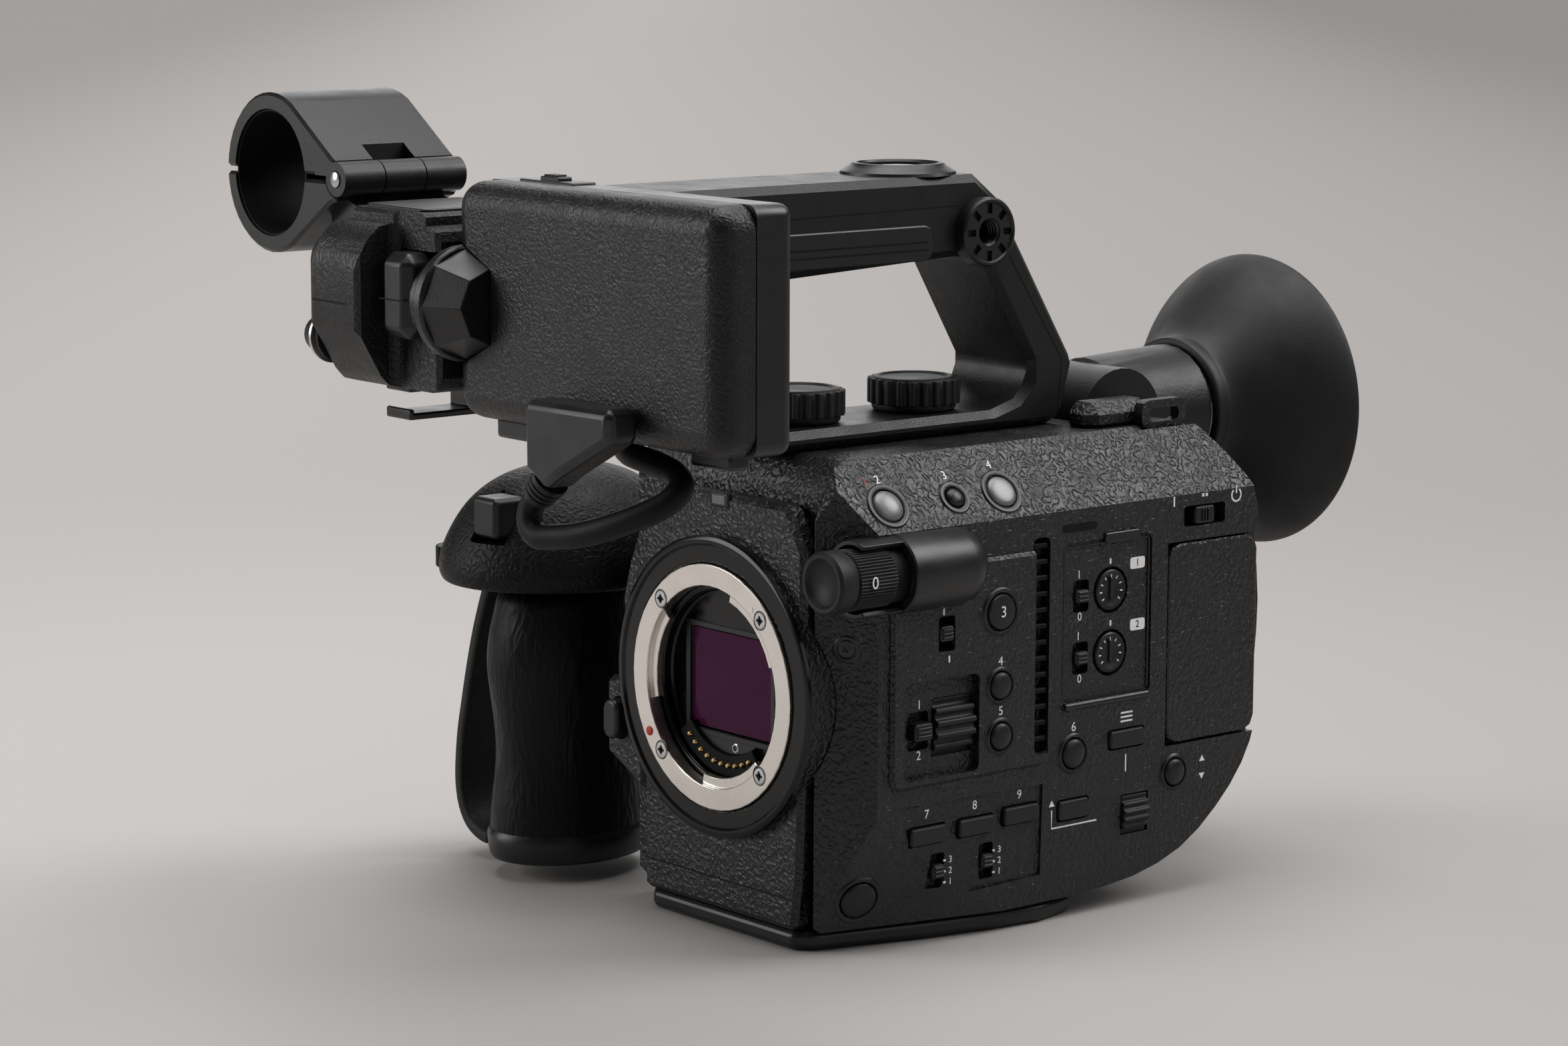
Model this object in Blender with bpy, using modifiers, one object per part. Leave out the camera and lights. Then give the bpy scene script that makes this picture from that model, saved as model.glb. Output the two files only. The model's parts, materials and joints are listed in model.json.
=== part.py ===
"""A cinema camera rig: body, top handle, tilting monitor, side grip and viewfinder.

Every size is in millimetres and the helpers turn it into metres. The base stands on z = 0, x = 0 is on the
optical axis, the lens looks along -Y and the control side faces +X.
"""
import math

import bmesh
import bpy
from mathutils import Matrix, Vector

MM = 0.001
GAP = 0.3            # between pieces that touch
FIT = 0.4            # round a moving piece in its pocket
TRAVEL = 1.2         # how far a button goes in
PROUD = 0.8          # how far a control stands out of its face
KEY_DEEP = 3.2       # how deep a button's body sits below its face

# Body
BODY_HIGH = 121.5
BODY_REAR = 75.0
SIDE = 46.0          # control face
COVER = 12.0         # thickness of the control cover
RIGHT = -43.0
WALL = 3.5
PLATE_FRONT = -72.0
PLATE_THICK = 6.0
BASE_THICK = 5.0
CHAMFER_LOW = 105.0
CHAMFER_IN = 12.5

# Lens mount
MOUNT_Z = 62.5
RING_FRONT = -75.0
RING_RADIUS = 31.0
RING_THICK = 3.6
RING_WALL = 5.5
RING_BORE = RING_RADIUS - RING_WALL
LUG_RISE = 2.5
LUG_BORE = RING_BORE - LUG_RISE
BOSS_RADIUS = 38.0
BOSS_FRONT = -74.0
THROAT = LUG_BORE + 1.0
THROAT_WALL = 2.0
WINDOW_DEPTH = 7.4   # from the flange to the filter window
WINDOW = (31.0, 25.0)
WINDOW_THICK = 1.5
FLANGE_DEPTH = 18.0
SENSOR = (34.0, 27.0)
SENSOR_THICK = 3.0

# Top handle
HANDLE_HALF = 15.5
PLATE_TOP = 126.8
BAR_LOW = 166.0
BAR_HIGH = 187.5
BAR_FRONT = -122.0
ROSETTE = 8.2
ROSETTE_Y = 0.5
ROSETTE_Z = 173.0
KNOB_RADIUS = 12.0
KNOB_HIGH = 8.5
KNOBS_Y = {"handle_knob_front": -46.8, "handle_knob_rear": -8.0}

# Front block
BLOCK_X = (-31.0, 8.0)
BLOCK_FRONT = -172.0
BLOCK_Z = (143.5, 182.0)
SHOE_THICK = 3.0
CORNER_CUT = (20.0, 12.5)   # width and depth of the slope behind the monitor's clamp
CLIP_X = (-21.5, -11.5)
CLIP_SET = 16.0     # from the block's front to the clip's
CLIP_LONG = 20.0
CLIP_THICK = 1.6
CLIP_GAP = 5.0      # room for a cable
CLIP_LIP = (1.4, 1.0)

# Microphone holder
MIC_X = -69.0
MIC_Z = 190.0
MIC_Y = (-157.0, -121.5)
MIC_OUT = 19.5
MIC_BORE = 15.5
MIC_PIN_X = -40.0
MIC_PIN = 1.8
MIC_KNUCKLE = 4.2
MIC_SPLIT = 1.2
MIC_WINDOW = (6.0, 10.0)   # how far the lid's hinge window reaches in from the pin, and up

# Monitor
LCD_X = (10.5, 108.0)
LCD_BACK = -159.0
LCD_SEAM = -149.0
LCD_FACE = -138.0
LCD_Z = (138.5, 193.0)
LCD_AXIS_Y = -158.0
LCD_AXIS_Z = 165.0
NECK_RADIUS = 9.5
CONE_RING = (12.0, 15.5)
CONE_END = 25.0
CONE_RADIUS = 13.4
CONE_TIP = 9.0
CONE_FACETS = 8
CLAMP_X = (-6.5, 5.0)
CLAMP_Y = (-168.0, -156.0)
CLAMP_Z = (156.0, 176.0)
CABLE_RADIUS = 2.9
PLUG_THICK = 9.0

# Grip
GRIP_AXIS_Y = -48.0
GRIP_AXIS_Z = 88.0
GRIP_ROSETTE = 15.0
GRIP_X = -77.0
GRIP_Y = -61.5
GRIP_LOW = 4.0
GRIP_TOP = 78.5
GRIP_CAP = {"x": -70.0, "y": -88.5, "half": 5.0, "z": (93.0, 103.5)}
GRIP_DIAL = {"x": -97.0, "y": -81.0, "z": 81.0, "radius": 7.2, "high": 5.5}
STRAP_Y = (-75.0, -47.0)
STRAP_THICK = 3.6

# Viewfinder
VF_Y = 50.0
VF_Z = 119.5
VF_KNUCKLE = 15.0
VF_HALF = 16.5
VF_TUBE = 17.5
VF_TUBE_END = 84.0
CUP_RIM = 40.0
CUP_END = 117.0
CUP_WALL = 2.6

# ND dial
ND_X = 45.0
ND_Z = 95.0
ND_RADIUS = 7.7
ND_FRONT = -77.0
ND_BACK = -55.0
ND_HOUSING = 9.7
ND_HOUSING_END = -28.0

# Controls on the side face: place (y, z) and size
ROUND_BUTTONS = {
    "status_button": (-20.5, 82.1, 9.0),
    "iris_button": (-20.4, 63.5, 6.8),
    "push_auto_button": (-20.2, 50.6, 6.8),
    "display_button": (6.1, 42.4, 7.6),
    "slot_button": (42.4, 32.5, 7.0),
}
KEYS = {
    "menu_button": (24.8, 43.9, 12.3, 4.6),
    "thumbnail_button": (6.2, 28.0, 10.6, 5.0),
    "gain_button": (-43.0, 28.5, 12.0, 4.4),
    "white_balance_button": (-27.0, 28.5, 12.0, 4.4),
    "shutter_button": (-11.9, 29.3, 12.0, 4.4),
}
# Slide switches: place, knob size, travel each way and the axis that they slide along
SWITCHES = {
    "nd_mode_switch": (-38.4, 78.7, 4.6, 4.0, 2.0, "z"),
    "nd_iris_selector": (-45.8, 55.0, 6.0, 4.4, 2.2, "z"),
    "gain_switch": (-39.4, 18.8, 4.0, 3.6, 2.4, "z"),
    "wb_switch": (-23.1, 19.0, 4.0, 3.6, 2.4, "z"),
    "audio_switch_1": (8.6, 82.5, 4.6, 3.4, 2.0, "z"),
    "audio_switch_2": (8.6, 66.6, 4.6, 3.4, 2.0, "z"),
    "power_switch": (51.9, 99.2, 7.0, 4.6, 3.6, "y"),
}
AUDIO_DIALS = {"audio_dial_1": (19.0, 83.0), "audio_dial_2": (19.0, 66.8)}
AUDIO_DIAL = 5.2
CHAMFER_BUTTONS = {"record_button": (-53.0, 4.2), "speed_button": (-31.3, 2.6),
                   "full_auto_button": (-15.7, 4.2)}
IRIS_WHEEL = {"name": "iris_wheel", "y": -34.6, "z": 55.2, "radius": 10.7, "width": 12.8, "proud": 1.4}
SELECT_WHEEL = {"name": "select_wheel", "y": 28.1, "z": 23.8, "radius": 7.6, "width": 9.0, "proud": 1.6}
WB_SET = (38.6, -59.3, 13.4)
WB_SET_RADIUS = 4.8
WB_SET_DEEP = 1.8
RAISED = {"y": (-56.0, -3.0), "z": (41.0, 96.0), "rise": 1.2}
DOOR = {"y": (39.2, 72.0), "z": (40.0, 92.5), "thick": 2.2, "corner": 4.0}
BATTERY = {"x": (-32.0, 18.0), "y": (58.0, 92.0), "z": (36.0, 86.0)}
RELEASE = {"x": -40.0, "z": 48.0, "half": (3.0, 5.2), "front": -76.0, "back": -70.5, "travel": 2.0}
REC_DISC = {"y": -14.0, "radius": 9.5, "high": 3.0}

for old in list(bpy.data.objects):
    bpy.data.objects.remove(old)


def collection(name):
    made = bpy.data.collections.new(name)
    bpy.context.scene.collection.children.link(made)
    return made


PARTS = collection("cinema_camera_rig")
CUTTERS = collection("cutters")


def material(name, colour, roughness, metallic=0.0):
    made = bpy.data.materials.new(name)
    made.use_nodes = True
    shader = made.node_tree.nodes["Principled BSDF"]
    shader.inputs["Base Color"].default_value = (*colour, 1.0)
    shader.inputs["Roughness"].default_value = roughness
    shader.inputs["Metallic"].default_value = metallic
    return made


SHELL = material("grained_shell", (0.022, 0.022, 0.024), 0.62)
TRIM = material("satin_trim", (0.016, 0.016, 0.017), 0.45)
RUBBER = material("rubber", (0.02, 0.02, 0.021), 0.8)
KEY = material("key_cap", (0.03, 0.03, 0.032), 0.5)
STEEL = material("steel", (0.72, 0.70, 0.67), 0.25, 1.0)
GLASS = material("dark_glass", (0.06, 0.02, 0.08), 0.1)
BOARD = material("circuit_board", (0.02, 0.08, 0.04), 0.6)


def place(name, mesh, finish, cutter=False):
    made = bpy.data.objects.new(name, mesh)
    (CUTTERS if cutter else PARTS).objects.link(made)
    made.data.materials.append(finish)
    if cutter:
        made.hide_render = True
        made.display_type = "WIRE"
    return made


def round_edges(target, width, steps=1):
    bevel = target.modifiers.new("round", "BEVEL")
    bevel.width = width * MM
    bevel.segments = steps
    bevel.limit_method = "ANGLE"
    bevel.angle_limit = math.radians(40)
    return target


def box(name, low, high, finish=SHELL, edge=0.0, cutter=False, steps=1):
    shape = bmesh.new()
    bmesh.ops.create_cube(shape, size=1.0)
    low = Vector(low)
    high = Vector(high)
    size = high - low
    middle = (low + high) / 2
    bmesh.ops.scale(shape, vec=size * MM, verts=shape.verts)
    bmesh.ops.translate(shape, vec=middle * MM, verts=shape.verts)
    mesh = bpy.data.meshes.new(name)
    shape.to_mesh(mesh)
    shape.free()
    made = place(name, mesh, finish, cutter)
    if edge:
        round_edges(made, edge, steps)
    return made


def turned(name, start, along, radius, end_radius, length, finish=TRIM, sides=24, edge=0.0, cutter=False):
    """A cylinder or cone that starts at a point and runs along a direction."""
    shape = bmesh.new()
    bmesh.ops.create_cone(shape, cap_ends=True, segments=sides, radius1=radius * MM,
                          radius2=end_radius * MM, depth=length * MM)
    bmesh.ops.translate(shape, vec=(0, 0, length * MM / 2), verts=shape.verts)
    turn = Vector((0, 0, 1)).rotation_difference(Vector(along).normalized()).to_matrix().to_4x4()
    bmesh.ops.transform(shape, matrix=Matrix.Translation(Vector(start) * MM) @ turn, verts=shape.verts)
    mesh = bpy.data.meshes.new(name)
    shape.to_mesh(mesh)
    shape.free()
    mesh.shade_smooth()
    mesh.set_sharp_from_angle(angle=math.radians(35))
    made = place(name, mesh, finish, cutter)
    if edge:
        round_edges(made, edge)
    return made


PLANES = {
    "x": Matrix(((0, 0, 1), (1, 0, 0), (0, 1, 0))),
    "y": Matrix(((1, 0, 0), (0, 0, -1), (0, 1, 0))),
    "z": Matrix.Identity(3),
}


def slab(name, outline, axis, start, end, finish=SHELL, edge=0.0, cutter=False, steps=1):
    """A flat outline with thickness from start to end along an axis.

    The outline is (y, z) for axis x, (x, z) for axis y and (x, y) for axis z.
    """
    curve = bpy.data.curves.new(name + "_outline", "CURVE")
    curve.dimensions = "2D"
    curve.fill_mode = "BOTH"
    curve.extrude = (end - start) * MM / 2
    spline = curve.splines.new("POLY")
    spline.points.add(len(outline) - 1)
    for point, (u, v) in zip(spline.points, outline):
        point.co = (u * MM, v * MM, 0, 1)
    spline.use_cyclic_u = True
    guide = bpy.data.objects.new(name + "_outline", curve)
    CUTTERS.objects.link(guide)
    mesh = bpy.data.meshes.new_from_object(guide.evaluated_get(bpy.context.evaluated_depsgraph_get()))
    bpy.data.objects.remove(guide)
    shape = bmesh.new()
    shape.from_mesh(mesh)
    bmesh.ops.remove_doubles(shape, verts=shape.verts, dist=0.00001)
    bmesh.ops.dissolve_limit(shape, angle_limit=0.001, verts=shape.verts, edges=shape.edges)
    turn = PLANES[axis].to_4x4()
    shift = Vector(PLANES[axis].col[2]) * (start + end) / 2 * MM
    if axis == "y":
        shift = -shift
    bmesh.ops.transform(shape, matrix=Matrix.Translation(shift) @ turn, verts=shape.verts)
    bmesh.ops.recalc_face_normals(shape, faces=shape.faces)
    shape.to_mesh(mesh)
    shape.free()
    mesh.materials.clear()
    made = place(name, mesh, finish, cutter)
    if edge:
        round_edges(made, edge, steps)
    return made


def arc(centre, radius, first, last, count):
    """Points on an arc, in degrees from the first axis of the outline."""
    turns = [math.radians(first + (last - first) * i / count) for i in range(count + 1)]
    return [(centre[0] + radius * math.cos(t), centre[1] + radius * math.sin(t)) for t in turns]


def rounded(low, high, corner, count=2):
    """A rectangle's outline with round corners."""
    (u0, v0), (u1, v1) = low, high
    corners = (((u1 - corner, v1 - corner), 0), ((u0 + corner, v1 - corner), 90),
               ((u0 + corner, v0 + corner), 180), ((u1 - corner, v0 + corner), 270))
    return [p for centre, turn in corners for p in arc(centre, corner, turn, turn + 90, count)]


def band(path, thick):
    """The outline of a strip of even thickness along a path."""
    left = []
    right = []
    for i, (u, v) in enumerate(path):
        before = path[max(i - 1, 0)]
        after = path[min(i + 1, len(path) - 1)]
        along = Vector((after[0] - before[0], after[1] - before[1])).normalized()
        left.append((u - along.y * thick / 2, v + along.x * thick / 2))
        right.append((u + along.y * thick / 2, v - along.x * thick / 2))
    return left + right[::-1]


def boolean(target, other, kind):
    step = target.modifiers.new(kind.lower(), "BOOLEAN")
    step.operation = kind
    step.solver = "EXACT"
    step.object = other


def cut(target, *cutters):
    for cutter in cutters:
        boolean(target, cutter, "DIFFERENCE")


def join(target, *others):
    for other in others:
        boolean(target, other, "UNION")


def pivot(target, point):
    """Moves an object's origin to a point and leaves its shape in place."""
    place_at = Vector(point) * MM
    target.data.transform(Matrix.Translation(-place_at))
    target.location = place_at
    return target


def smooth(route, count):
    """Points on a smooth curve through the route's own points."""
    made = []
    last = len(route) - 1
    for i in range(last):
        a = route[max(i - 1, 0)]
        b, c = route[i], route[i + 1]
        d = route[min(i + 2, last)]
        for step in range(count):
            t = step / count
            made.append(0.5 * (2 * b + (c - a) * t + (2 * a - 5 * b + 4 * c - d) * t ** 2
                               + (3 * b - a - 3 * c + d) * t ** 3))
    return made + [route[-1]]


# Outlines that several pieces share
BACK_POINTS = [(8.0, BASE_THICK + GAP), (28.0, 7.0), (45.0, 12.0), (58.0, 21.0), (67.5, 31.5), (72.5, 43.0),
               (BODY_REAR - 1.0, 58.0), (BODY_REAR, 74.0), (73.0, 92.0), (69.5, 107.0), (63.0, 117.5),
               (57.0, BODY_HIGH)]
BACK_CURVE = [tuple(point) for point in smooth([Vector(point) for point in BACK_POINTS], 2)]
PLATE_BACK = PLATE_FRONT + PLATE_THICK
CASE_FRONT = PLATE_BACK + GAP
COVER_IN = SIDE - COVER
BODY_OUTLINE = [(CASE_FRONT, BASE_THICK + GAP)] + BACK_CURVE + [(CASE_FRONT + 5.0, BODY_HIGH),
                                                                (CASE_FRONT, 112.0)]
CHAMFER_OUT = Vector((BODY_HIGH - CHAMFER_LOW, 0, CHAMFER_IN)).normalized()


def base_plate():
    ground = [(-28.0, -71.0), (27.0, -71.0), (31.5, -66.0), (40.0, -37.0), (44.0, -18.0), (45.5, -4.0),
              (43.0, 9.0), (-40.0, 9.0), (-43.0, -10.0), (-36.0, -64.0)]
    made = slab("base_plate", ground, "z", 0.0, BASE_THICK, TRIM, edge=1.2)
    cut(made, turned("tripod_hole", (0, -30.0, -1.0), (0, 0, 1), 3.2, 3.2, BASE_THICK + 2.0, sides=20,
                     cutter=True))


def front_plate():
    outline = [(-31.0, BASE_THICK + GAP), (29.0, BASE_THICK + GAP), (31.0, 20.0), (32.5, 60.0), (32.5, 100.0),
               (26.0, 111.0), (-25.0, 111.0), (-33.0, 99.0), (-37.0, 90.0), (-40.0, 80.0), (-39.0, 70.0),
               (-33.0, 60.0), (-31.0, 31.0)]
    made = slab("front_plate", outline, "y", PLATE_FRONT, PLATE_BACK, SHELL, edge=1.5)
    middle = (0, BOSS_FRONT, MOUNT_Z)
    lobe = slab("release_lobe", [(-46.0, 38.0), (-30.0, 30.0), (-30.0, 66.0), (-38.0, 60.0), (-46.0, 58.0)],
                "y",
                PLATE_FRONT - 0.5, PLATE_BACK, SHELL, edge=1.5, cutter=True)
    join(made, turned("mount_boss", middle, (0, 1, 0), BOSS_RADIUS, BOSS_RADIUS, PLATE_BACK - BOSS_FRONT,
                      sides=48, cutter=True), lobe)
    recess = RING_FRONT + RING_THICK + GAP
    cut(made,
        turned("ring_recess", (0, RING_FRONT - 1, MOUNT_Z), (0, 1, 0), RING_RADIUS + GAP, RING_RADIUS + GAP,
               recess - RING_FRONT + 1, sides=48, cutter=True),
        turned("throat_hole", (0, RING_FRONT - 1, MOUNT_Z), (0, 1, 0), THROAT + THROAT_WALL + GAP,
               THROAT + THROAT_WALL + GAP, PLATE_BACK - RING_FRONT + 2, sides=48, cutter=True))
    half_x, half_z = RELEASE["half"]
    pocket = rounded((RELEASE["x"] - half_x - FIT, RELEASE["z"] - half_z - FIT),
                     (RELEASE["x"] + half_x + FIT, RELEASE["z"] + half_z + FIT), half_x, 3)
    cut(made, slab("release_pocket", pocket, "y", RELEASE["front"], RELEASE["back"] + RELEASE["travel"] + FIT,
                   cutter=True))
    button = rounded((RELEASE["x"] - half_x, RELEASE["z"] - half_z),
                     (RELEASE["x"] + half_x, RELEASE["z"] + half_z), half_x - 0.2, 3)
    pivot(slab("lens_release_button", button, "y", RELEASE["front"], RELEASE["back"], KEY, edge=0.6),
          (RELEASE["x"], RELEASE["front"], RELEASE["z"]))


def lens_mount():
    ring = turned("lens_mount_ring", (0, RING_FRONT, MOUNT_Z), (0, 1, 0), RING_RADIUS, RING_RADIUS,
                  RING_THICK, STEEL, sides=48)
    cut(ring, turned("ring_bore", (0, RING_FRONT - 1, MOUNT_Z), (0, 1, 0), RING_BORE, RING_BORE,
                     RING_THICK + 2, sides=48, cutter=True))
    for number, turn in enumerate((20.0, 140.0, 260.0)):
        lug = arc((0, MOUNT_Z), RING_BORE + 1.0, turn, turn + 55.0, 6)
        lug += arc((0, MOUNT_Z), LUG_BORE, turn + 55.0, turn, 6)
        join(ring, slab(f"lug_{number}", lug, "y", RING_FRONT + 1.2, RING_FRONT + RING_THICK - 0.4, STEEL,
                        cutter=True))
    sensor_y = RING_FRONT + FLANGE_DEPTH
    start = RING_FRONT + RING_THICK + GAP
    window_y = RING_FRONT + WINDOW_DEPTH
    liner = turned("throat_liner", (0, start, MOUNT_Z), (0, 1, 0), THROAT + THROAT_WALL, THROAT + THROAT_WALL,
                   sensor_y - GAP - start, TRIM, sides=48)
    half_x, half_z = WINDOW[0] / 2, WINDOW[1] / 2
    opening = box("window_opening", (-half_x - GAP, start - 1, MOUNT_Z - half_z - GAP),
                  (half_x + GAP, sensor_y + 1, MOUNT_Z + half_z + GAP), cutter=True)
    cut(liner, turned("liner_bore", (0, start - 1, MOUNT_Z), (0, 1, 0), THROAT, THROAT,
                      window_y - GAP - start + 1, sides=48, cutter=True), opening)
    box("filter_window", (-half_x, window_y, MOUNT_Z - half_z),
        (half_x, window_y + WINDOW_THICK, MOUNT_Z + half_z), GLASS)
    half_x, half_z = SENSOR[0] / 2, SENSOR[1] / 2
    box("image_sensor", (-half_x, sensor_y, MOUNT_Z - half_z),
        (half_x, sensor_y + SENSOR_THICK, MOUNT_Z + half_z), BOARD)


def viewfinder_seat():
    """The cutters that leave room for the viewfinder's knuckle and tube."""
    room = VF_KNUCKLE + 0.6
    knuckle = turned("knuckle_seat", (-VF_HALF - GAP - 0.2, VF_Y, VF_Z), (1, 0, 0), room, room,
                     2 * (VF_HALF + GAP + 0.2), sides=32, cutter=True)
    tube = turned("tube_seat", (0, VF_Y, VF_Z), (0, 1, 0), VF_TUBE + 1.0, VF_TUBE + 1.0,
                  BODY_REAR - VF_Y + 10.0, sides=32, cutter=True)
    return knuckle, tube


def main_casing():
    inner_end = COVER_IN - GAP
    made = slab("main_casing", BODY_OUTLINE, "x", RIGHT, inner_end, SHELL, edge=2.5)
    room = [(CASE_FRONT + WALL, BASE_THICK + WALL), (8.0, BASE_THICK + WALL), (30.0, 11.5), (52.0, 21.0),
            (52.0, 92.0), (32.0, BODY_HIGH - WALL), (CASE_FRONT + WALL + 5.0, BODY_HIGH - WALL),
            (CASE_FRONT + WALL, 110.0)]
    cheek_in = VF_HALF + 1.5
    cheeks = [box(f"cheek_{side}", (min(side * cheek_in, side * (cheek_in + 11)), 27.0, BODY_HIGH - 2.0),
                  (max(side * cheek_in, side * (cheek_in + 11)), 50.0, BODY_HIGH + 6.5), SHELL, edge=3.0,
                  cutter=True) for side in (-1, 1)]
    eyelet = slab("strap_eyelet", rounded((42.0, BODY_HIGH - 1.0), (58.0, BODY_HIGH + 6.5), 2.4), "x", 29.5,
                  32.5, STEEL, cutter=True)
    eyelet_slot = slab("eyelet_slot", rounded((44.5, BODY_HIGH + 0.8), (55.5, BODY_HIGH + 4.3), 1.5), "x",
                       28.0, 34.0, cutter=True)
    join(made, *cheeks, eyelet)
    cut(made, eyelet_slot,
        slab("casing_room", room, "x", RIGHT + WALL, SIDE, cutter=True),
        turned("casing_throat", (0, CASE_FRONT - 1, MOUNT_Z), (0, 1, 0), THROAT + THROAT_WALL + GAP,
               THROAT + THROAT_WALL + GAP, WALL + 2, sides=48, cutter=True),
        *viewfinder_seat())
    low = [BATTERY[axis][0] - GAP for axis in "xyz"]
    high = [BATTERY[axis][1] + GAP for axis in "xyz"]
    cut(made, box("battery_bay", low, high, cutter=True))
    box("battery_pack", [BATTERY[axis][0] for axis in "xyz"], [BATTERY[axis][1] for axis in "xyz"], TRIM,
        edge=1.5)


def pocket_round(cover, name, start, along, radius, depth):
    cut(cover, turned(name + "_pocket", start, along, radius + FIT, radius + FIT, depth, sides=16,
                      cutter=True))


def left_cover():
    outline = [(CASE_FRONT - 4.0, BASE_THICK + GAP)] + BACK_CURVE[:-2] + [(60.0, BODY_HIGH - 0.5),
               (CASE_FRONT + 2.0, BODY_HIGH - 0.5), (CASE_FRONT - 4.0, 108.0)]
    cover = slab("left_cover", outline, "x", COVER_IN, SIDE, SHELL)
    high = BODY_HIGH + 1.0
    slope_x = SIDE - CHAMFER_IN * (high - CHAMFER_LOW) / (BODY_HIGH - CHAMFER_LOW)
    slope = [(SIDE, CHAMFER_LOW), (SIDE + 6.0, CHAMFER_LOW), (SIDE + 6.0, high), (slope_x, high)]
    corner = [(SIDE + 1.0, CASE_FRONT + 7.0), (COVER_IN - 1.0, CASE_FRONT - 5.0),
              (SIDE + 1.0, CASE_FRONT - 5.0)]
    cut(cover,
        slab("top_slope", slope, "y", -90.0, 90.0, cutter=True),
        slab("front_corner", corner, "z", -5.0, 130.0, cutter=True))
    scoop = box("lower_scoop", (0.0, -60.0, -60.0), (30.0, 60.0, 40.0), cutter=True)
    scoop.matrix_world = Matrix.Translation(Vector((47.0, -6.0, 0.0)) * MM) @ scoop_turn()
    housing = turned("nd_housing", (ND_X, ND_BACK + GAP, ND_Z), (0, 1, 0), ND_HOUSING, ND_HOUSING,
                     ND_HOUSING_END - ND_BACK - 7.0, SHELL, sides=24, cutter=True)
    nose = turned("nd_nose", (ND_X, ND_HOUSING_END - 7.5, ND_Z), (0, 1, 0), ND_HOUSING, ND_HOUSING * 0.45,
                  7.5, SHELL, sides=24, cutter=True)
    boss = BOSS_RADIUS + GAP
    cut(cover, scoop, turned("boss_room", (0, RING_FRONT - 5, MOUNT_Z), (0, 1, 0), boss, boss,
                             PLATE_BACK + GAP - RING_FRONT + 5, sides=48, cutter=True))
    cut(cover, turned("nd_room", (ND_X, ND_FRONT - 1, ND_Z), (0, 1, 0), ND_RADIUS + 0.8, ND_RADIUS + 0.8,
                      ND_BACK - ND_FRONT + 1 + GAP, sides=32, cutter=True))
    (y0, y1), (z0, z1) = RAISED["y"], RAISED["z"]
    raised = slab("raised_panel", rounded((y0, z0), (y1, z1), 3.0), "x", SIDE - 4.0, SIDE + RAISED["rise"],
                  SHELL, edge=0.9, cutter=True)
    cut(raised, *(bpy.data.objects[name] for name in ("lower_scoop", "front_corner", "top_slope", "nd_room")))
    join(cover, raised, housing, nose)
    panels(cover)
    buttons(cover)
    wheels(cover)
    return cover


def scoop_turn():
    """The slope of the lower front corner, as a turn whose X axis points out of the face."""
    along = Vector((-14.0, -58.0, 0.0)).normalized()
    up = Vector((0.0, -54.0, 38.0))
    out = up.cross(along).normalized()
    return Matrix((out, -along, out.cross(-along))).transposed().to_4x4()


def face_at(y, z):
    """How far out the cover's face is at a place."""
    (y0, y1), (z0, z1) = RAISED["y"], RAISED["z"]
    return SIDE + RAISED["rise"] if y0 < y < y1 and z0 < z < z1 else SIDE


def panels(cover):
    """Shallow panels, the vent slot and the door's pocket."""
    floor = SIDE - 0.6
    audio = rounded((1.8, 54.6), (33.0, 96.6), 2.0)
    keys = [(-52.0, 36.6), (-45.0, 11.6), (-5.0, 12.6), (-4.4, 36.0)][::-1]
    wheel = rounded((-52.0, 43.0), (-27.4, 67.6), 1.5)
    cut(cover,
        slab("audio_recess", audio, "x", floor, SIDE + 1, cutter=True),
        slab("key_recess", keys, "x", floor, SIDE + 1, cutter=True),
        slab("wheel_recess", wheel, "x", SIDE - 1.0, SIDE + 3, cutter=True),
        slab("vent", rounded((-8.6, 44.0), (-2.8, 99.0), 1.5), "x", SIDE - 3.0, SIDE + 3, cutter=True))
    (y0, y1), (z0, z1), thick = DOOR["y"], DOOR["z"], DOOR["thick"]
    cut(cover, slab("door_pocket", [(y0 - FIT, z0 - FIT), (y1 + 12, z0 - FIT), (y1 + 12, z1 + FIT),
                                    (y0 - FIT, z1 + FIT)], "x", SIDE - thick - GAP, SIDE + 1, cutter=True),
        box("card_bay", (SIDE - thick - 8.0, y0 + 8.0, z0 + 8.0), (SIDE, y1 - 8.0, z1 - 8.0), cutter=True))
    leaf = slab("media_door", rounded((y0, z0), (y1, z1), DOOR["corner"]), "x", SIDE - thick, SIDE, SHELL,
                edge=0.5)
    pivot(leaf, (SIDE, y0 + GAP, (z0 + z1) / 2))


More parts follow.
